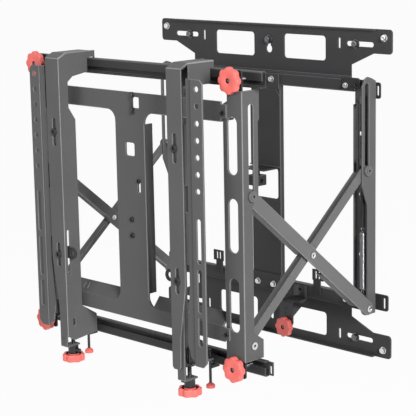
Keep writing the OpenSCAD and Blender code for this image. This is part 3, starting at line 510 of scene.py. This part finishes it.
def ease_bends(piece, bend):
    """Makes the rounding smaller along edges near a crossing, until no face crosses itself.

    The last rounds take the rounding off such edges.
    """
    rounds, easing_rounds, easing = 7, 4, 0.45
    skin, spread = 0.3 * MM, 1.5 * bend
    mesh = piece.data
    pairs = np.zeros(len(mesh.edges) * 2, np.int32)
    mesh.edges.foreach_get("vertices", pairs)
    points = np.zeros(len(mesh.vertices) * 3, np.float32)
    mesh.vertices.foreach_get("co", points)
    start, end = points.reshape(-1, 3)[pairs.reshape(-1, 2)].transpose(1, 0, 2)
    along = end - start
    length = np.maximum(np.sum(along * along, axis=1), 1e-12)
    weight = np.zeros(len(mesh.edges), np.float32)
    weights = mesh.attributes["bevel_weight_edge"].data
    weights.foreach_get("value", weight)
    for attempt in range(rounds):
        solid = piece.evaluated_get(bpy.context.evaluated_depsgraph_get())
        places = crossings(solid.to_mesh())
        solid.to_mesh_clear()
        if not len(places):
            return
        gap = places[:, None] - start[None]
        share = np.clip(np.sum(gap * along, axis=2) / length, 0, 1)
        distance = np.linalg.norm(gap - share[..., None] * along, axis=2).min(axis=0)
        weight[distance < skin + spread * weight] *= easing if attempt < easing_rounds else 0.0
        weights.foreach_set("value", weight)
        mesh.update_tag()


def rounded_copy(node, slot=None, bend=None, highlight_edges=True):
    """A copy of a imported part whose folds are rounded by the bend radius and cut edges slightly.

    An edge is a fold where both of its faces reach further from it than twice the sheet.
    """
    look = finish()
    bend = bend or look.bend_radius
    widest_strip, shortest_fold = 6.0 * MM, 14.0 * MM
    least_angle, level, same_place = math.radians(28), math.radians(0.8), 0.02 * MM
    end_share, corner_share, reach_share = 0.45, 0.8, 0.4
    mesh = frame["nodes"][node].data.copy()
    mesh.materials.clear()
    work = bmesh.new()
    work.from_mesh(mesh)
    bmesh.ops.remove_doubles(work, verts=work.verts, dist=same_place)
    bmesh.ops.dissolve_limit(work, angle_limit=level, verts=work.verts, edges=work.edges)
    solid = BVHTree.FromBMesh(work)
    weights = work.edges.layers.float.new("bevel_weight_edge")
    for edge in work.edges:
        if len(edge.link_faces) != 2:
            continue
        angle = edge.calc_face_angle_signed(0.0)
        if abs(angle) < least_angle:
            continue
        reaches = [face_reach(solid, face, edge) for face in edge.link_faces]
        least, middle = (min(reach[i] for reach in reaches) for i in (0, 1))
        fold = middle > widest_strip and edge.calc_length() > shortest_fold
        if angle < 0 and not fold:
            continue
        radius = (bend if angle > 0 else look.inner_bend) if fold else look.edge_break
        room = min(end_share * end_room(edge), corner_share * corner_room(edge))
        edge[weights] = min(radius, reach_share * least, room) / bend
    work.to_mesh(mesh)
    work.free()
    mesh.shade_smooth()
    piece = bpy.data.objects.new(node + "_steel", mesh)
    bpy.context.scene.collection.objects.link(piece)
    bevel = piece.modifiers.new("bends", "BEVEL")
    bevel.limit_method, bevel.width = "WEIGHT", bend
    bevel.segments, bevel.use_clamp_overlap = look.bend_steps, False
    flat = piece.modifiers.new("flat_faces", "WEIGHTED_NORMAL")
    flat.keep_sharp, flat.weight = True, 100
    ease_bends(piece, bend)
    slot = slot or SLOT_OF[node]
    # The rounded folds and edges take the paler copy of the coat: a painted highlight.
    if highlight_edges:
        bevel.material = 1
        slot = (slot, slot + "_edge")
    return settle(piece, node, slot, True)


class Stock:
    """Surfaces of one piece, gathered before its mesh is made."""

    def __init__(self):
        self.points, self.faces, self.marks, self.count = [], [], [], 0

    def sheet(self, points, marks=0):
        """Adds a grid of rows by columns of points, closed round its columns."""
        rows, columns = points.shape[:2]
        index = np.arange(rows * columns).reshape(rows, columns) + self.count
        after = np.roll(index, -1, axis=1)
        quads = np.stack([index[:-1], after[:-1], after[1:], index[1:]], axis=-1)
        self.points.append(points.reshape(-1, 3))
        self.faces.append(quads.reshape(-1, 4))
        row_marks = np.broadcast_to(np.asarray(marks), (rows - 1,))
        self.marks.append(np.repeat(row_marks, columns))
        self.count += rows * columns

    def turned(self, profile, start, axis, columns=40, outline=None, marks=0):
        """Adds a turned surface: each row (radius, height) of the profile swept about the axis.

        outline(angle, radius, height) may return another radius for each point.
        """
        profile = np.asarray(profile, float)
        axis = np.asarray(axis, float)
        side = np.cross(axis, [0.0, 0.0, 1.0] if abs(axis[2]) < 0.9 else [1.0, 0.0, 0.0])
        side /= np.linalg.norm(side)
        up = np.cross(axis, side)
        angle = np.linspace(0, 2 * np.pi, columns, endpoint=False)[None, :]
        radius = np.repeat(profile[:, :1], columns, axis=1)
        height = np.repeat(profile[:, 1:2], columns, axis=1)
        if outline:
            radius = outline(np.broadcast_to(angle, radius.shape), radius, height)
        ring = np.cos(angle)[..., None] * side + np.sin(angle)[..., None] * up
        self.sheet(np.asarray(start) + radius[..., None] * ring + height[..., None] * axis, marks)

    def tube(self, path, outward, radius, columns):
        """Adds a round tube along a path, closed at its ends.

        Its rows are circles square to the path, and each starts on the path's outward side.
        """
        along = np.gradient(path, axis=0)
        along /= np.linalg.norm(along, axis=1, keepdims=True)
        side = outward - along * np.sum(along * outward, axis=1, keepdims=True)
        side /= np.linalg.norm(side, axis=1, keepdims=True)
        up = np.cross(along, side)
        angle = np.linspace(0, 2 * np.pi, columns, endpoint=False)
        turn = angle[None, :, None]
        rows = path[:, None] + radius * (np.cos(turn) * side[:, None] + np.sin(turn) * up[:, None])
        cap = np.repeat(path[[0, -1]][:, None], columns, axis=1)
        self.sheet(np.concatenate([cap[:1], rows, cap[1:]]))

    def make(self, name, node, slot=None, replaced=True):
        """Makes the piece: closes its poles, turns its faces outwards and settles it."""
        sharp = math.radians(32)
        mesh = bpy.data.meshes.new(name)
        mesh.from_pydata(np.concatenate(self.points), [], np.concatenate(self.faces))
        mesh.polygons.foreach_set("material_index", np.concatenate(self.marks).astype(np.int32))
        work = bmesh.new()
        work.from_mesh(mesh)
        bmesh.ops.remove_doubles(work, verts=work.verts, dist=1e-7)
        bmesh.ops.dissolve_degenerate(work, edges=work.edges, dist=1e-8)
        bmesh.ops.recalc_face_normals(work, faces=work.faces)
        work.to_mesh(mesh)
        work.free()
        mesh.shade_smooth()
        mesh.set_sharp_from_angle(angle=sharp)
        piece = bpy.data.objects.new(name, mesh)
        bpy.context.scene.collection.objects.link(piece)
        return settle(piece, node, slot or SLOT_OF[node], replaced)


def face_centres(mesh):
    """The middle of each face, as rows."""
    centre = np.zeros(len(mesh.polygons) * 3, np.float32)
    mesh.polygons.foreach_get("center", centre)
    return centre.reshape(-1, 3)


def stepped(steps, chamfer=0.35 * MM, socket=None):
    """Profile of a stepped pin: rows of radius and height for each (radius, from, to) step.

    Each step's two rims are rounded. A socket (radius, depth) is sunk in the far end.
    """
    rows = [(0.0, steps[0][1])]
    for radius, low, high in steps:
        cut = min(chamfer, (high - low) / 3)
        mid = 0.3 * cut
        rows += [(radius - cut, low), (radius - mid, low + mid), (radius, low + cut),
                 (radius, high - cut), (radius - mid, high - mid), (radius - cut, high)]
    end = steps[-1][2]
    if not socket:
        return rows + [(0.0, end)]
    wide, deep = socket
    lip = 0.2 * MM
    return rows + [(wide + lip, end), (wide, end - lip), (wide, end - deep), (0.0, end - deep)]


def hexagon(across):
    """Outline of a hexagon this far across its flats, which also keeps the profile's radius."""
    def outline(angle, radius, height):
        flat = (angle + math.pi / 6) % (math.pi / 3) - math.pi / 6
        return np.minimum(across / 2 / np.cos(flat), radius)
    return outline


def hex_profile(across, low, high):
    """Profile of a hexagon head: full at its foot, its corners turned off at its top."""
    flat = across / 2
    corner = flat * HEX_CORNER
    return [(0.0, low), (corner, low), (corner, high - 0.8 * MM), (flat * 1.04, high - 0.1 * MM),
            (flat * 0.96, high), (flat * 0.45, high), (0.0, high - 0.3 * MM)]


def hex_turned(stock, across, low, high, start):
    """Adds a hexagon head or nut that faces forward."""
    stock.turned(hex_profile(across, low, high), start, FORWARD, 48, hexagon(across))


def hex_socket(stock, radius, top, depth, start):
    """Adds a six-sided socket let into a head, in the black paint as painted shade."""
    profile = [(radius, top), (radius * 0.96, top - depth), (0.0, top - depth)]
    stock.turned(profile, start, FORWARD, 24, hexagon(radius * 1.75), 1)


def thread(stock, start, axis, low, high, radius, columns=20):
    """Adds a threaded shank: the radius waves once per pitch and turns with the angle."""
    pitch = finish().thread_pitch
    depth, rows_per_turn, least_rows = pitch * 0.5, 6, 8
    rows = max(least_rows, int((high - low) / pitch * rows_per_turn))
    heights = np.linspace(low, high, rows)
    profile = np.stack([np.full(rows, radius), heights], axis=1)
    profile = np.concatenate([[(0.0, low)], profile, [(0.0, high)]])

    def outline(angle, rim, height):
        turn = (height / pitch - angle / (2 * np.pi)) % 1.0
        ends = np.clip(np.minimum(height - low, high - height) / pitch, 0, 1)
        ridge = np.abs(2 * turn - 1) * ends
        return np.where(rim > 0, rim - depth * (1 - ridge), 0.0)

    stock.turned(profile, start, axis, columns, outline)


def knob(stock, start, axis, radius, thick, lobes, notch, hollow, ring=0.0):
    """Adds a lobed knob: its radius falls to a notch between two lobes as a cosine to a power.

    hollow is the radius of the recess in its face. It holds a screw end, or a boss of radius ring.
    """
    soft = finish().knob_rim
    deep, socket, power, steps_per_lobe = 3.2 * MM, 1.2 * MM, 1.4, 16
    inner = hollow + 1.2 * MM

    def outline(angle, rim, height):
        fall = notch * ((1 - np.cos(lobes * angle)) / 2) ** power
        share = np.clip((rim - inner) / (radius - soft - inner), 0, 1)
        return rim - fall * share

    bow = np.linspace(0, np.pi / 2, 6)
    low_rim = [(radius - soft + soft * math.sin(a), soft * (1 - math.cos(a))) for a in bow]
    high_rim = [(radius - soft + soft * math.cos(a), thick - soft + soft * math.sin(a)) for a in bow]
    face = [(radius * 0.72, thick), (hollow + 0.6 * MM, thick),
            (hollow + 0.15 * MM, thick - 0.15 * MM), (hollow, thick - 0.6 * MM),
            (hollow, thick - deep)]
    if ring:
        well = [(ring, thick - deep), (ring, thick - 0.8 * MM), (ring - 0.6 * MM, thick - 0.2 * MM),
                (ring * 0.45, thick - 0.2 * MM), (ring * 0.40, thick - socket), (0.0, thick - socket)]
        well_marks = [1, 0, 0, 0, 1, 1]
    else:
        end, top = hollow * 0.62, thick - deep + 1.9 * MM
        well = [(end, thick - deep), (end, top - 0.4 * MM), (end - 0.4 * MM, top), (0.0, top)]
        well_marks = [1, 2, 2, 2]
    rows = [(0.0, 0.0), (radius * 0.6, 0.0)] + low_rim + high_rim + face + well
    # The recess's wall and floor, and the socket in a boss, take the black paint as painted shade; the
    # screw end takes the steel paint.
    marks = np.zeros(len(rows) - 1, int)
    marks[-len(well) - 1:-len(well)] = 1
    marks[-len(well):] = well_marks
    stock.turned(rows, start, axis, lobes * steps_per_lobe, outline, marks)


class MOUNT_OT_folded_steel(bpy.types.Operator):
    """Makes every folded steel part with rounded bends and broken edges"""

    bl_idname = "mount.folded_steel"
    bl_label = "Folded steel"

    def execute(self, context):
        # The wall parts take the darker copy of the coat as painted shade.
        for node in WALL_STEEL:
            rounded_copy(node, "wall_shade_coat")
        # The arms take the lighter copy of the coat as painted light.
        for node in ARMS:
            rounded_copy(node, "arm_lit_coat")
        for node in GREY_STEEL:
            rounded_copy(node)
        for node in DARK_STEEL:
            rounded_copy(node, bend=SMALL_BEND)
        return {"FINISHED"}


class MOUNT_OT_pins(bpy.types.Operator):
    """Turns the pivot pins and the slider pins of the scissors"""

    bl_idname = "mount.pins"
    bl_label = "Scissor pins"

    def pin(self, stock, side, y, z, inner, outer, head, thick, collars=(), boss=0.0):
        """One pin along X from its inner end, with a foot, a shank, collars and a socketed head.

        A head with a boss of this radius has the coat of the arms. coated and dark count the rings
        of faces at the outer end that the whole head and the socket take up.
        """
        shank, foot, foot_radius, coated, dark = 4.0 * MM, 1.5 * MM, 4.5 * MM, 14, 2
        steps = [(foot_radius, inner, inner + foot)]
        at = inner + foot
        for low, high, radius in collars:
            steps += [(shank, at, low), (radius, low, high)]
            at = high
        rise = 1.3 * MM if boss else 0.0
        steps += [(shank, at, outer - thick), (head, outer - thick, outer - rise)]
        if boss:
            steps.append((boss, outer - rise, outer))
        profile = stepped(steps, 0.5 * MM, ((boss or head) * 0.36, 1.8 * MM))
        marks = np.zeros(len(profile) - 1, int)
        if boss:
            marks[-coated:] = 2
        # The socket's rings take the black paint: painted shade in the recess.
        marks[-dark:] = 1
        stock.turned(profile, (0, y, z), (side, 0, 0), 40, None, marks)

    def execute(self, context):
        def middle(node):
            low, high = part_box(node)
            return (low[1] + high[1]) / 2, (low[2] + high[2]) / 2

        front_y, slider_z = middle("slider_pin_a_right")
        wall_y = middle("slider_pin_b_right")[0]
        centre_y, centre_z = middle("centre_pin_right")
        pivot_z = 2 * centre_z - slider_z
        # The sockets take the black paint as painted shade; the bosses take the arms' lighter coat,
        # painted light.
        paints = ("zinc_plated", "black_parts", "arm_lit_coat")
        spacer = (226.9 * MM, 231.2 * MM, 9 * MM)
        long_spacer = (226.9 * MM, 234.7 * MM, 6.5 * MM)
        # Node, place, radius and thickness of the head, collars, radius of the boss.
        kinds = [
            ("slider_pin_a_", front_y, slider_z, 8.5 * MM, 5 * MM, (), 5.8 * MM),
            ("slider_pin_b_", wall_y, slider_z, 8.5 * MM, 5.5 * MM, (), 5.8 * MM),
            ("centre_pin_", centre_y, centre_z, 5 * MM, 3 * MM, [spacer], 0.0),
        ]
        for name, side in SIDES.items():
            for kind, y, z, head, thick, collars, boss in kinds:
                inner, outer = sorted(abs(corner[0]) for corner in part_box(kind + name))
                stock = Stock()
                self.pin(stock, side, y, z, inner, outer, head, thick, collars, boss)
                stock.make(kind + name + "_turned", kind + name, paints)
        # Side, inner end, outer end and collars of the fixed pins.
        wall_pins = [(1, 225.75 * MM, 237.75 * MM, ()), (-1, 221.75 * MM, 233.75 * MM, ())]
        front_pins = [(1, 221.75 * MM, 241.25 * MM, [long_spacer]), (-1, 229.75 * MM, 241.25 * MM, ())]
        for node, y, head, pins in (("wall_pivot_pins", wall_y, 5.5 * MM, wall_pins),
                                    ("front_pivot_pins", front_y, 6 * MM, front_pins)):
            stock = Stock()
            for side, inner, outer, collars in pins:
                self.pin(stock, side, y, pivot_z, inner, outer, head, 3 * MM, collars)
            stock.make(node + "_turned", node, paints)
        return {"FINISHED"}


class MOUNT_OT_screws(bpy.types.Operator):
    """Makes the hexagon bolts, the button heads, the nuts and the wall screws"""

    bl_idname = "mount.screws"
    bl_label = "Screws and nuts"

    def bolt(self, stock, x, z, seat, across, thick, shank, foot):
        """One hexagon bolt in mm, whose washer lies on the seat's distance from the wall."""
        start = (x * MM, 0, z * MM)
        low, high, wide = seat * MM, (seat + 1) * MM, across * 0.66 * MM
        bulge = (across * 0.675 * MM, (seat + 0.3) * MM)
        stock.turned([(0.0, low), (wide, low), bulge, (wide, high), (0.0, high)], start, FORWARD, 32)
        hex_turned(stock, across * MM, (seat + 0.9) * MM, (seat + 1 + thick) * MM, start)
        thread(stock, start, FORWARD, foot * MM, (seat + 0.5) * MM, shank / 2 * MM, 16)

    def button(self, stock, x, z, seat, wide, thick, shank, foot):
        """One round head in mm, domed, with a hexagon socket and a plain shank."""
        start = (x * MM, 0, z * MM)
        bow = np.linspace(0, np.pi / 2, 7)
        rim = wide / 2 * MM
        socket = rim * 0.42
        dome = [(rim * (0.62 + 0.38 * math.cos(a)), (seat + thick * (0.25 + 0.75 * math.sin(a))) * MM)
                for a in bow]
        top = (seat + thick) * MM
        stock.turned([(0.0, seat * MM), (rim, seat * MM)] + dome + [(socket, top)], start, FORWARD, 32)
        hex_socket(stock, socket, top, thick * 0.6 * MM, start)
        stock.turned(stepped([(shank / 2 * MM, foot * MM, (seat + 0.2) * MM)]), start, FORWARD, 20)

    def wall_screw(self, stock, x, z):
        """A washer and a hexagon wall screw in a mounting slot or in the keyhole."""
        start = (x * MM, 0, z * MM)
        back, front, wide = 2.6 * MM, 4.0 * MM, 7.3 * MM
        washer = [(0.0, back), (wide, back), (7.6 * MM, 2.9 * MM), (wide, front), (0.0, front)]
        stock.turned(washer, start, FORWARD, 36)
        hex_turned(stock, 10 * MM, 3.9 * MM, 8.6 * MM, start)
        stock.turned(stepped([(3.4 * MM, 0.3 * MM, 3.0 * MM)]), start, FORWARD, 20)

    def execute(self, context):
        # Place, seat, width across flats, head, shank and foot in mm.
        plate_bolt = (246, 254.5, 2.7, 9, 4, 6, 0.6)
        column_bolt = (18, 177, 16.2, 8, 4, 5, 3.5)
        channel_bolt = (178, 177, 15.9, 7, 3, 5, 3.5)
        stock = Stock()
        for x, z in QUARTERS:
            for bolt in (plate_bolt, column_bolt, channel_bolt):
                self.bolt(stock, bolt[0] * x, bolt[1] * z, *bolt[2:])
        stock.make("wall_bolts_made", "wall_bolts")

        # Place, seat, width, head, shank and foot in mm.
        buttons = [(0, -17, 324.7, 9, 2.4, 5, 318), (0, -42.5, 324.7, 9, 2.4, 5, 318),
                   (18, 46, 324.7, 8, 2.4, 5, 318)]
        buttons += [(203.3 * x, z, 324.7, 7.5, 2, 4, 317) for x in (-1, 1) for z in (168, -166)]
        stock = Stock()
        for button in buttons:
            self.button(stock, *button)
        # The heads take the dark coat and their sockets the black paint, as painted shade.
        dark = ("dark_coat", "black_parts")
        stock.make("cross_plate_screws_made", "cross_plate_screws", dark)

        guide_x = 138
        for name, side in SIDES.items():
            stock = Stock()
            for z in (114, -87):
                self.button(stock, guide_x * side, z, 362.3, 12, 2.3, 5, 352.5)
                start = (guide_x * side * MM, 0, z * MM)
                hex_turned(stock, 8 * MM, 352.4 * MM, 355.7 * MM, start)
            stock.make("guide_bolts_" + name + "_made", "guide_bolts_" + name, dark)

        stock = Stock()
        low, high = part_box("rail_nuts")
        for x, z in QUARTERS:
            start = (KNOB_X * x, 0, KNOB_Z * z)
            hex_turned(stock, 10.9 * MM, -high[1], -low[1], start)
        stock.make("rail_nuts_made", "rail_nuts")

        slot_x, slot_z, keyhole_z = 188, 242.75, 241.5
        stock = Stock()
        for x, z in QUARTERS:
            self.wall_screw(stock, slot_x * x, slot_z * z)
        self.wall_screw(stock, 0, keyhole_z)
        stock.make("wall_screws", "wall_plate_top", "dark_screw", False)
        return {"FINISHED"}


class MOUNT_OT_knobs(bpy.types.Operator):
    """Makes the lobed knobs with their threaded screws"""

    bl_idname = "mount.knobs"
    bl_label = "Knobs"

    def execute(self, context):
        for level, height in (("top", 1), ("low", -1)):
            for name, side in SIDES.items():
                x, back, z = KNOB_X * side, 324 * MM, KNOB_Z * height
                stock = Stock()
                knob(stock, (x, -back, z), FORWARD, radius=20 * MM, thick=9 * MM, lobes=8,
                     notch=2.3 * MM, hollow=3.75 * MM)
                thread(stock, (x, 0, z), FORWARD, 280 * MM, back + 0.5 * MM, 3 * MM)
                self.finish_knob(stock, "depth_knob_" + level + "_" + name, KNOB_PAINTS, 1, -back)
        for name, side in SIDES.items():
            x, y, foot, top = 137 * side * MM, -340 * MM, -270 * MM, -258 * MM
            stock = Stock()
            knob(stock, (x, y, foot), UPWARD, radius=18.5 * MM, thick=12 * MM, lobes=7,
                 notch=2.6 * MM, hollow=12.95 * MM, ring=9.25 * MM)
            thread(stock, (x, y, 0), UPWARD, top - 0.3 * MM, -195 * MM, 3.5 * MM)
            self.finish_knob(stock, "height_knob_" + name, KNOB_PAINTS, 2, top)
        x, back, z = 77 * MM, 52.4 * MM, -234 * MM
        stock = Stock()
        knob(stock, (x, -back, z), FORWARD, radius=17 * MM, thick=9 * MM, lobes=8,
             notch=2.0 * MM, hollow=3.5 * MM)
        thread(stock, (x, 0, z), FORWARD, 36 * MM, back + 0.6 * MM, 3 * MM)
        stock.turned(stepped([(5 * MM, 44 * MM, 49.1 * MM)]), (x, 0, z), FORWARD, 32)
        # The rear knob takes the darker copy of the coral as painted shade.
        self.finish_knob(stock, "lock_knob", ("knob_dark_coral", *KNOB_PAINTS[1:]), 1, -back)
        return {"FINISHED"}

    def finish_knob(self, stock, node, paints, axis, seat):
        """Makes a knob, and gives its faces past the seat on this axis the colour of bare steel."""
        skin = 0.1 * MM
        mesh = stock.make(node + "_made", node, paints).data
        index = np.zeros(len(mesh.polygons), np.int32)
        mesh.polygons.foreach_get("material_index", index)
        index[face_centres(mesh)[:, axis] > seat + skin] = 2
        mesh.polygons.foreach_set("material_index", index)


class MOUNT_OT_springs(bpy.types.Operator):
    """Winds the springs, each from a lower and an upper wire that draw apart as the mount folds"""

    bl_idname = "mount.springs"
    bl_label = "Springs"

    def core(self, part, x, y, low, high):
        """A straight wire inside the coil and its outward directions.

        The link rises further than the coil is long, and the two cores then reach each other.
        """
        past, aside, inset = 5.5 * MM, 1.6 * MM, 8 * MM
        if part == "lower":
            y, ends = y + aside, (low + inset, high + past)
        else:
            y, ends = y - aside, (low - past, high - inset)
        level = np.linspace(*ends, 12)
        path = np.stack([np.full_like(level, x), np.full_like(level, y), level], axis=1)
        return path, np.broadcast_to([1.0, 0.0, 0.0], path.shape)

    def execute(self, context):
        hook, wire, eye, core_wire = 8 * MM, 0.95 * MM, 3.0 * MM, 0.6 * MM
        play, steps_per_turn, taper, least = 1.06, 24, 1.6, 0.12
        for name, side in SIDES.items():
            low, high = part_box("spring_" + name)
            x, y = (low[0] + high[0]) / 2, (low[1] + high[1]) / 2
            start, end = low[2] + hook, high[2] - hook
            coil = (high[0] - low[0]) / 2 - wire
            pitch = 4 * wire * play
            turns = int((end - start) / pitch) + 0.5
            share = np.linspace(0, 1, int(turns * steps_per_turn))
            swell = np.clip(np.minimum(share, 1 - share) * turns * taper, least, 1)
            level = start + (end - start) * share
            middle = np.stack([x + 0 * level, y + 0 * level, level], axis=1)
            bow = np.linspace(-1.3 * np.pi, np.pi, 40)
            for part, node, phase in (("lower", "spring_" + name, 0.0),
                                      ("upper", "spring_link_" + name, math.pi)):
                angle = 2 * np.pi * turns * share + phase
                wave = np.stack([np.cos(angle) * side, np.sin(angle), np.zeros_like(angle)], axis=1)
                path = wave * (coil * swell)[:, None] + middle
                rise = low[2] + wire + eye * (1 - np.cos(bow))
                loop = np.stack([x + 0 * bow, y + eye * np.sin(bow), rise], axis=1)
                flank = np.broadcast_to([1.0, 0.0, 0.0], loop.shape)
                if part == "lower":
                    path, outward = np.concatenate([loop, path]), np.concatenate([flank, wave])
                else:
                    loop[:, 2] = low[2] + high[2] - loop[:, 2]
                    path, outward = np.concatenate([path, loop[::-1]]), np.concatenate([wave, flank])
                stock = Stock()
                stock.tube(path, outward, wire, 10)
                stock.tube(*self.core(part, x, y, low[2], high[2]), core_wire, 8)
                piece = "spring_" + name + "_" + part + "_wire"
                stock.make(piece, node, "spring_wire", part == "lower")
        return {"FINISHED"}


class MOUNT_OT_rods(bpy.types.Operator):
    """Makes the latch rod and the two pull rods with their buttons"""

    bl_idname = "mount.rods"
    bl_label = "Rods"

    def execute(self, context):
        stock = Stock()
        steps = [(2.1, 150, 152), (1.5, 152, 183), (2.1, 183, 185)]
        profile = stepped([(r * MM, a * MM, b * MM) for r, a, b in steps], 0.4 * MM)
        stock.turned(profile, (9 * MM, -326.9 * MM, 0), UPWARD, 24)
        stock.make("latch_rod_turned", "latch_rod")
        button_top = -258.9 * MM
        for name in SIDES:
            mesh = rounded_copy("pull_rod_" + name, bend=SMALL_BEND, highlight_edges=False).data
            mesh.materials.append(paint_of("knob_coral"))
            low = face_centres(mesh)[:, 2] < button_top
            mesh.polygons.foreach_set("material_index", low.astype(np.int32))
        return {"FINISHED"}


class MOUNT_OT_stage(bpy.types.Operator):
    """Sets the camera, the lamps, the pale surroundings and the floor"""

    bl_idname = "mount.stage"
    bl_label = "Stage"

    def camera(self):
        """The photograph's viewpoint: turned and raised about a target, and rolled a little."""
        turn, lift, roll = math.radians(44.875), math.radians(11.217), math.radians(-1.099)
        target, away = Vector((0.00934, -0.16513, -0.02196)), 2.4554
        ahead = Vector((-math.sin(turn) * math.cos(lift), math.cos(turn) * math.cos(lift),
                        -math.sin(lift)))
        right = Vector((math.cos(turn), math.sin(turn), 0))
        up = right.cross(ahead)
        right, up = (right * math.cos(roll) + up * math.sin(roll),
                     up * math.cos(roll) - right * math.sin(roll))
        data = bpy.data.cameras.new("camera")
        data.sensor_width, data.lens = 36.0, 129.65
        data.clip_start, data.clip_end = 0.05, 100.0
        camera = bpy.data.objects.new("camera", data)
        bpy.context.scene.collection.objects.link(camera)
        place = Matrix((right, up, -ahead)).transposed().to_4x4()
        place.translation = target - ahead * away
        camera.matrix_world = place
        bpy.context.scene.camera = camera

    def lamp(self, name, place, target, size, power):
        """One square soft lamp that faces the target."""
        data = bpy.data.lights.new(name, "AREA")
        data.shape, data.size, data.energy = "SQUARE", size, power
        lamp = bpy.data.objects.new(name, data)
        bpy.context.scene.collection.objects.link(lamp)
        lamp.location = place
        lamp.rotation_mode = "QUATERNION"
        lamp.rotation_quaternion = (Vector(target) - Vector(place)).to_track_quat("-Z", "Y")

    def world(self):
        """Soft light from all round, which camera and gloss see as white."""
        world = bpy.data.worlds.new("surroundings")
        bpy.context.scene.world = world
        paint = Paint(world, "Background")
        sockets = {"Value": paint.seen(), "To Min": finish().soft_light, "To Max": 1.0}
        level = paint.node("ShaderNodeMapRange", None, sockets)
        paint.surface(Color=(1, 1, 1, 1), Strength=level.value("Result"))

    def floor(self):
        """A pale floor far below the mount, which hangs on a wall."""
        half, below = 30.0, cad_low[2] - 0.95
        across = np.linspace(-half, half, 3)
        x, y = np.meshgrid(across, across)
        points = np.stack([x, y, np.full_like(x, below)], axis=-1).reshape(-1, 3)
        index = np.arange(9).reshape(3, 3)
        faces = np.stack([index[:-1, :-1], index[:-1, 1:], index[1:, 1:], index[1:, :-1]], axis=-1)
        mesh = bpy.data.meshes.new("floor")
        mesh.from_pydata(points, [], faces.reshape(-1, 4))
        floor = bpy.data.objects.new("floor", mesh)
        bpy.context.scene.collection.objects.link(floor)
        paint, place = new_paint("floor_paint")
        cloud = paint.noise(place, 0.8, 2.0)
        paint.surface(
            Base_Color=paint.blend(cloud, (0.90, 0.90, 0.90), (0.94, 0.94, 0.94)), Roughness=0.9)
        glow = paint.node("ShaderNodeEmission", None, {"Color": (1, 1, 1, 1), "Strength": 1.08})
        mixed = paint.node("ShaderNodeMixShader", None, {
            0: paint.seen() * 0.88, 1: Value(paint, paint.shader.outputs[0]), 2: glow.value(0)})
        paint.set(paint.tree.nodes["Material Output"].inputs["Surface"], mixed.value(0))
        mesh.materials.append(paint.owner)

    def execute(self, context):
        look, middle = finish(), (0, -0.15, 0)
        self.camera()
        self.lamp("key_lamp", (3.3, -1.6, 1.3), middle, 1.2, look.key_light)
        self.lamp("fill_lamp", (-0.9, -3.1, 0.7), middle, 1.4, look.fill_light)
        self.world()
        self.floor()
        bpy.context.scene.view_settings.view_transform = "Standard"
        return {"FINISHED"}


OPERATORS = [
    MOUNT_OT_folded_steel, MOUNT_OT_pins, MOUNT_OT_screws, MOUNT_OT_knobs,
    MOUNT_OT_springs, MOUNT_OT_rods, MOUNT_OT_stage,
]


class MOUNT_PT_panel(bpy.types.Panel):
    """Lists the steps that finish the mount."""

    bl_label = "Wall mount"
    bl_idname = "MOUNT_PT_panel"
    bl_space_type = "VIEW_3D"
    bl_region_type = "UI"
    bl_category = "Wall mount"

    def draw(self, context):
        for operator in OPERATORS:
            self.layout.operator(operator.bl_idname)
        for name in MountFinish.__annotations__:
            self.layout.prop(context.scene.mount_finish, name)


def register():
    for kind in [MountFinish, *OPERATORS, MOUNT_PT_panel]:
        bpy.utils.register_class(kind)
    bpy.types.Scene.mount_finish = PointerProperty(type=MountFinish)


def unregister():
    del bpy.types.Scene.mount_finish
    for kind in reversed([MountFinish, *OPERATORS, MOUNT_PT_panel]):
        bpy.utils.unregister_class(kind)


def main():
    """Makes every piece."""
    register()
    bpy.ops.mount.folded_steel()
    bpy.ops.mount.pins()
    bpy.ops.mount.screws()
    bpy.ops.mount.knobs()
    bpy.ops.mount.springs()
    bpy.ops.mount.rods()
    bpy.ops.mount.stage()


if __name__ == "__main__":
    main()
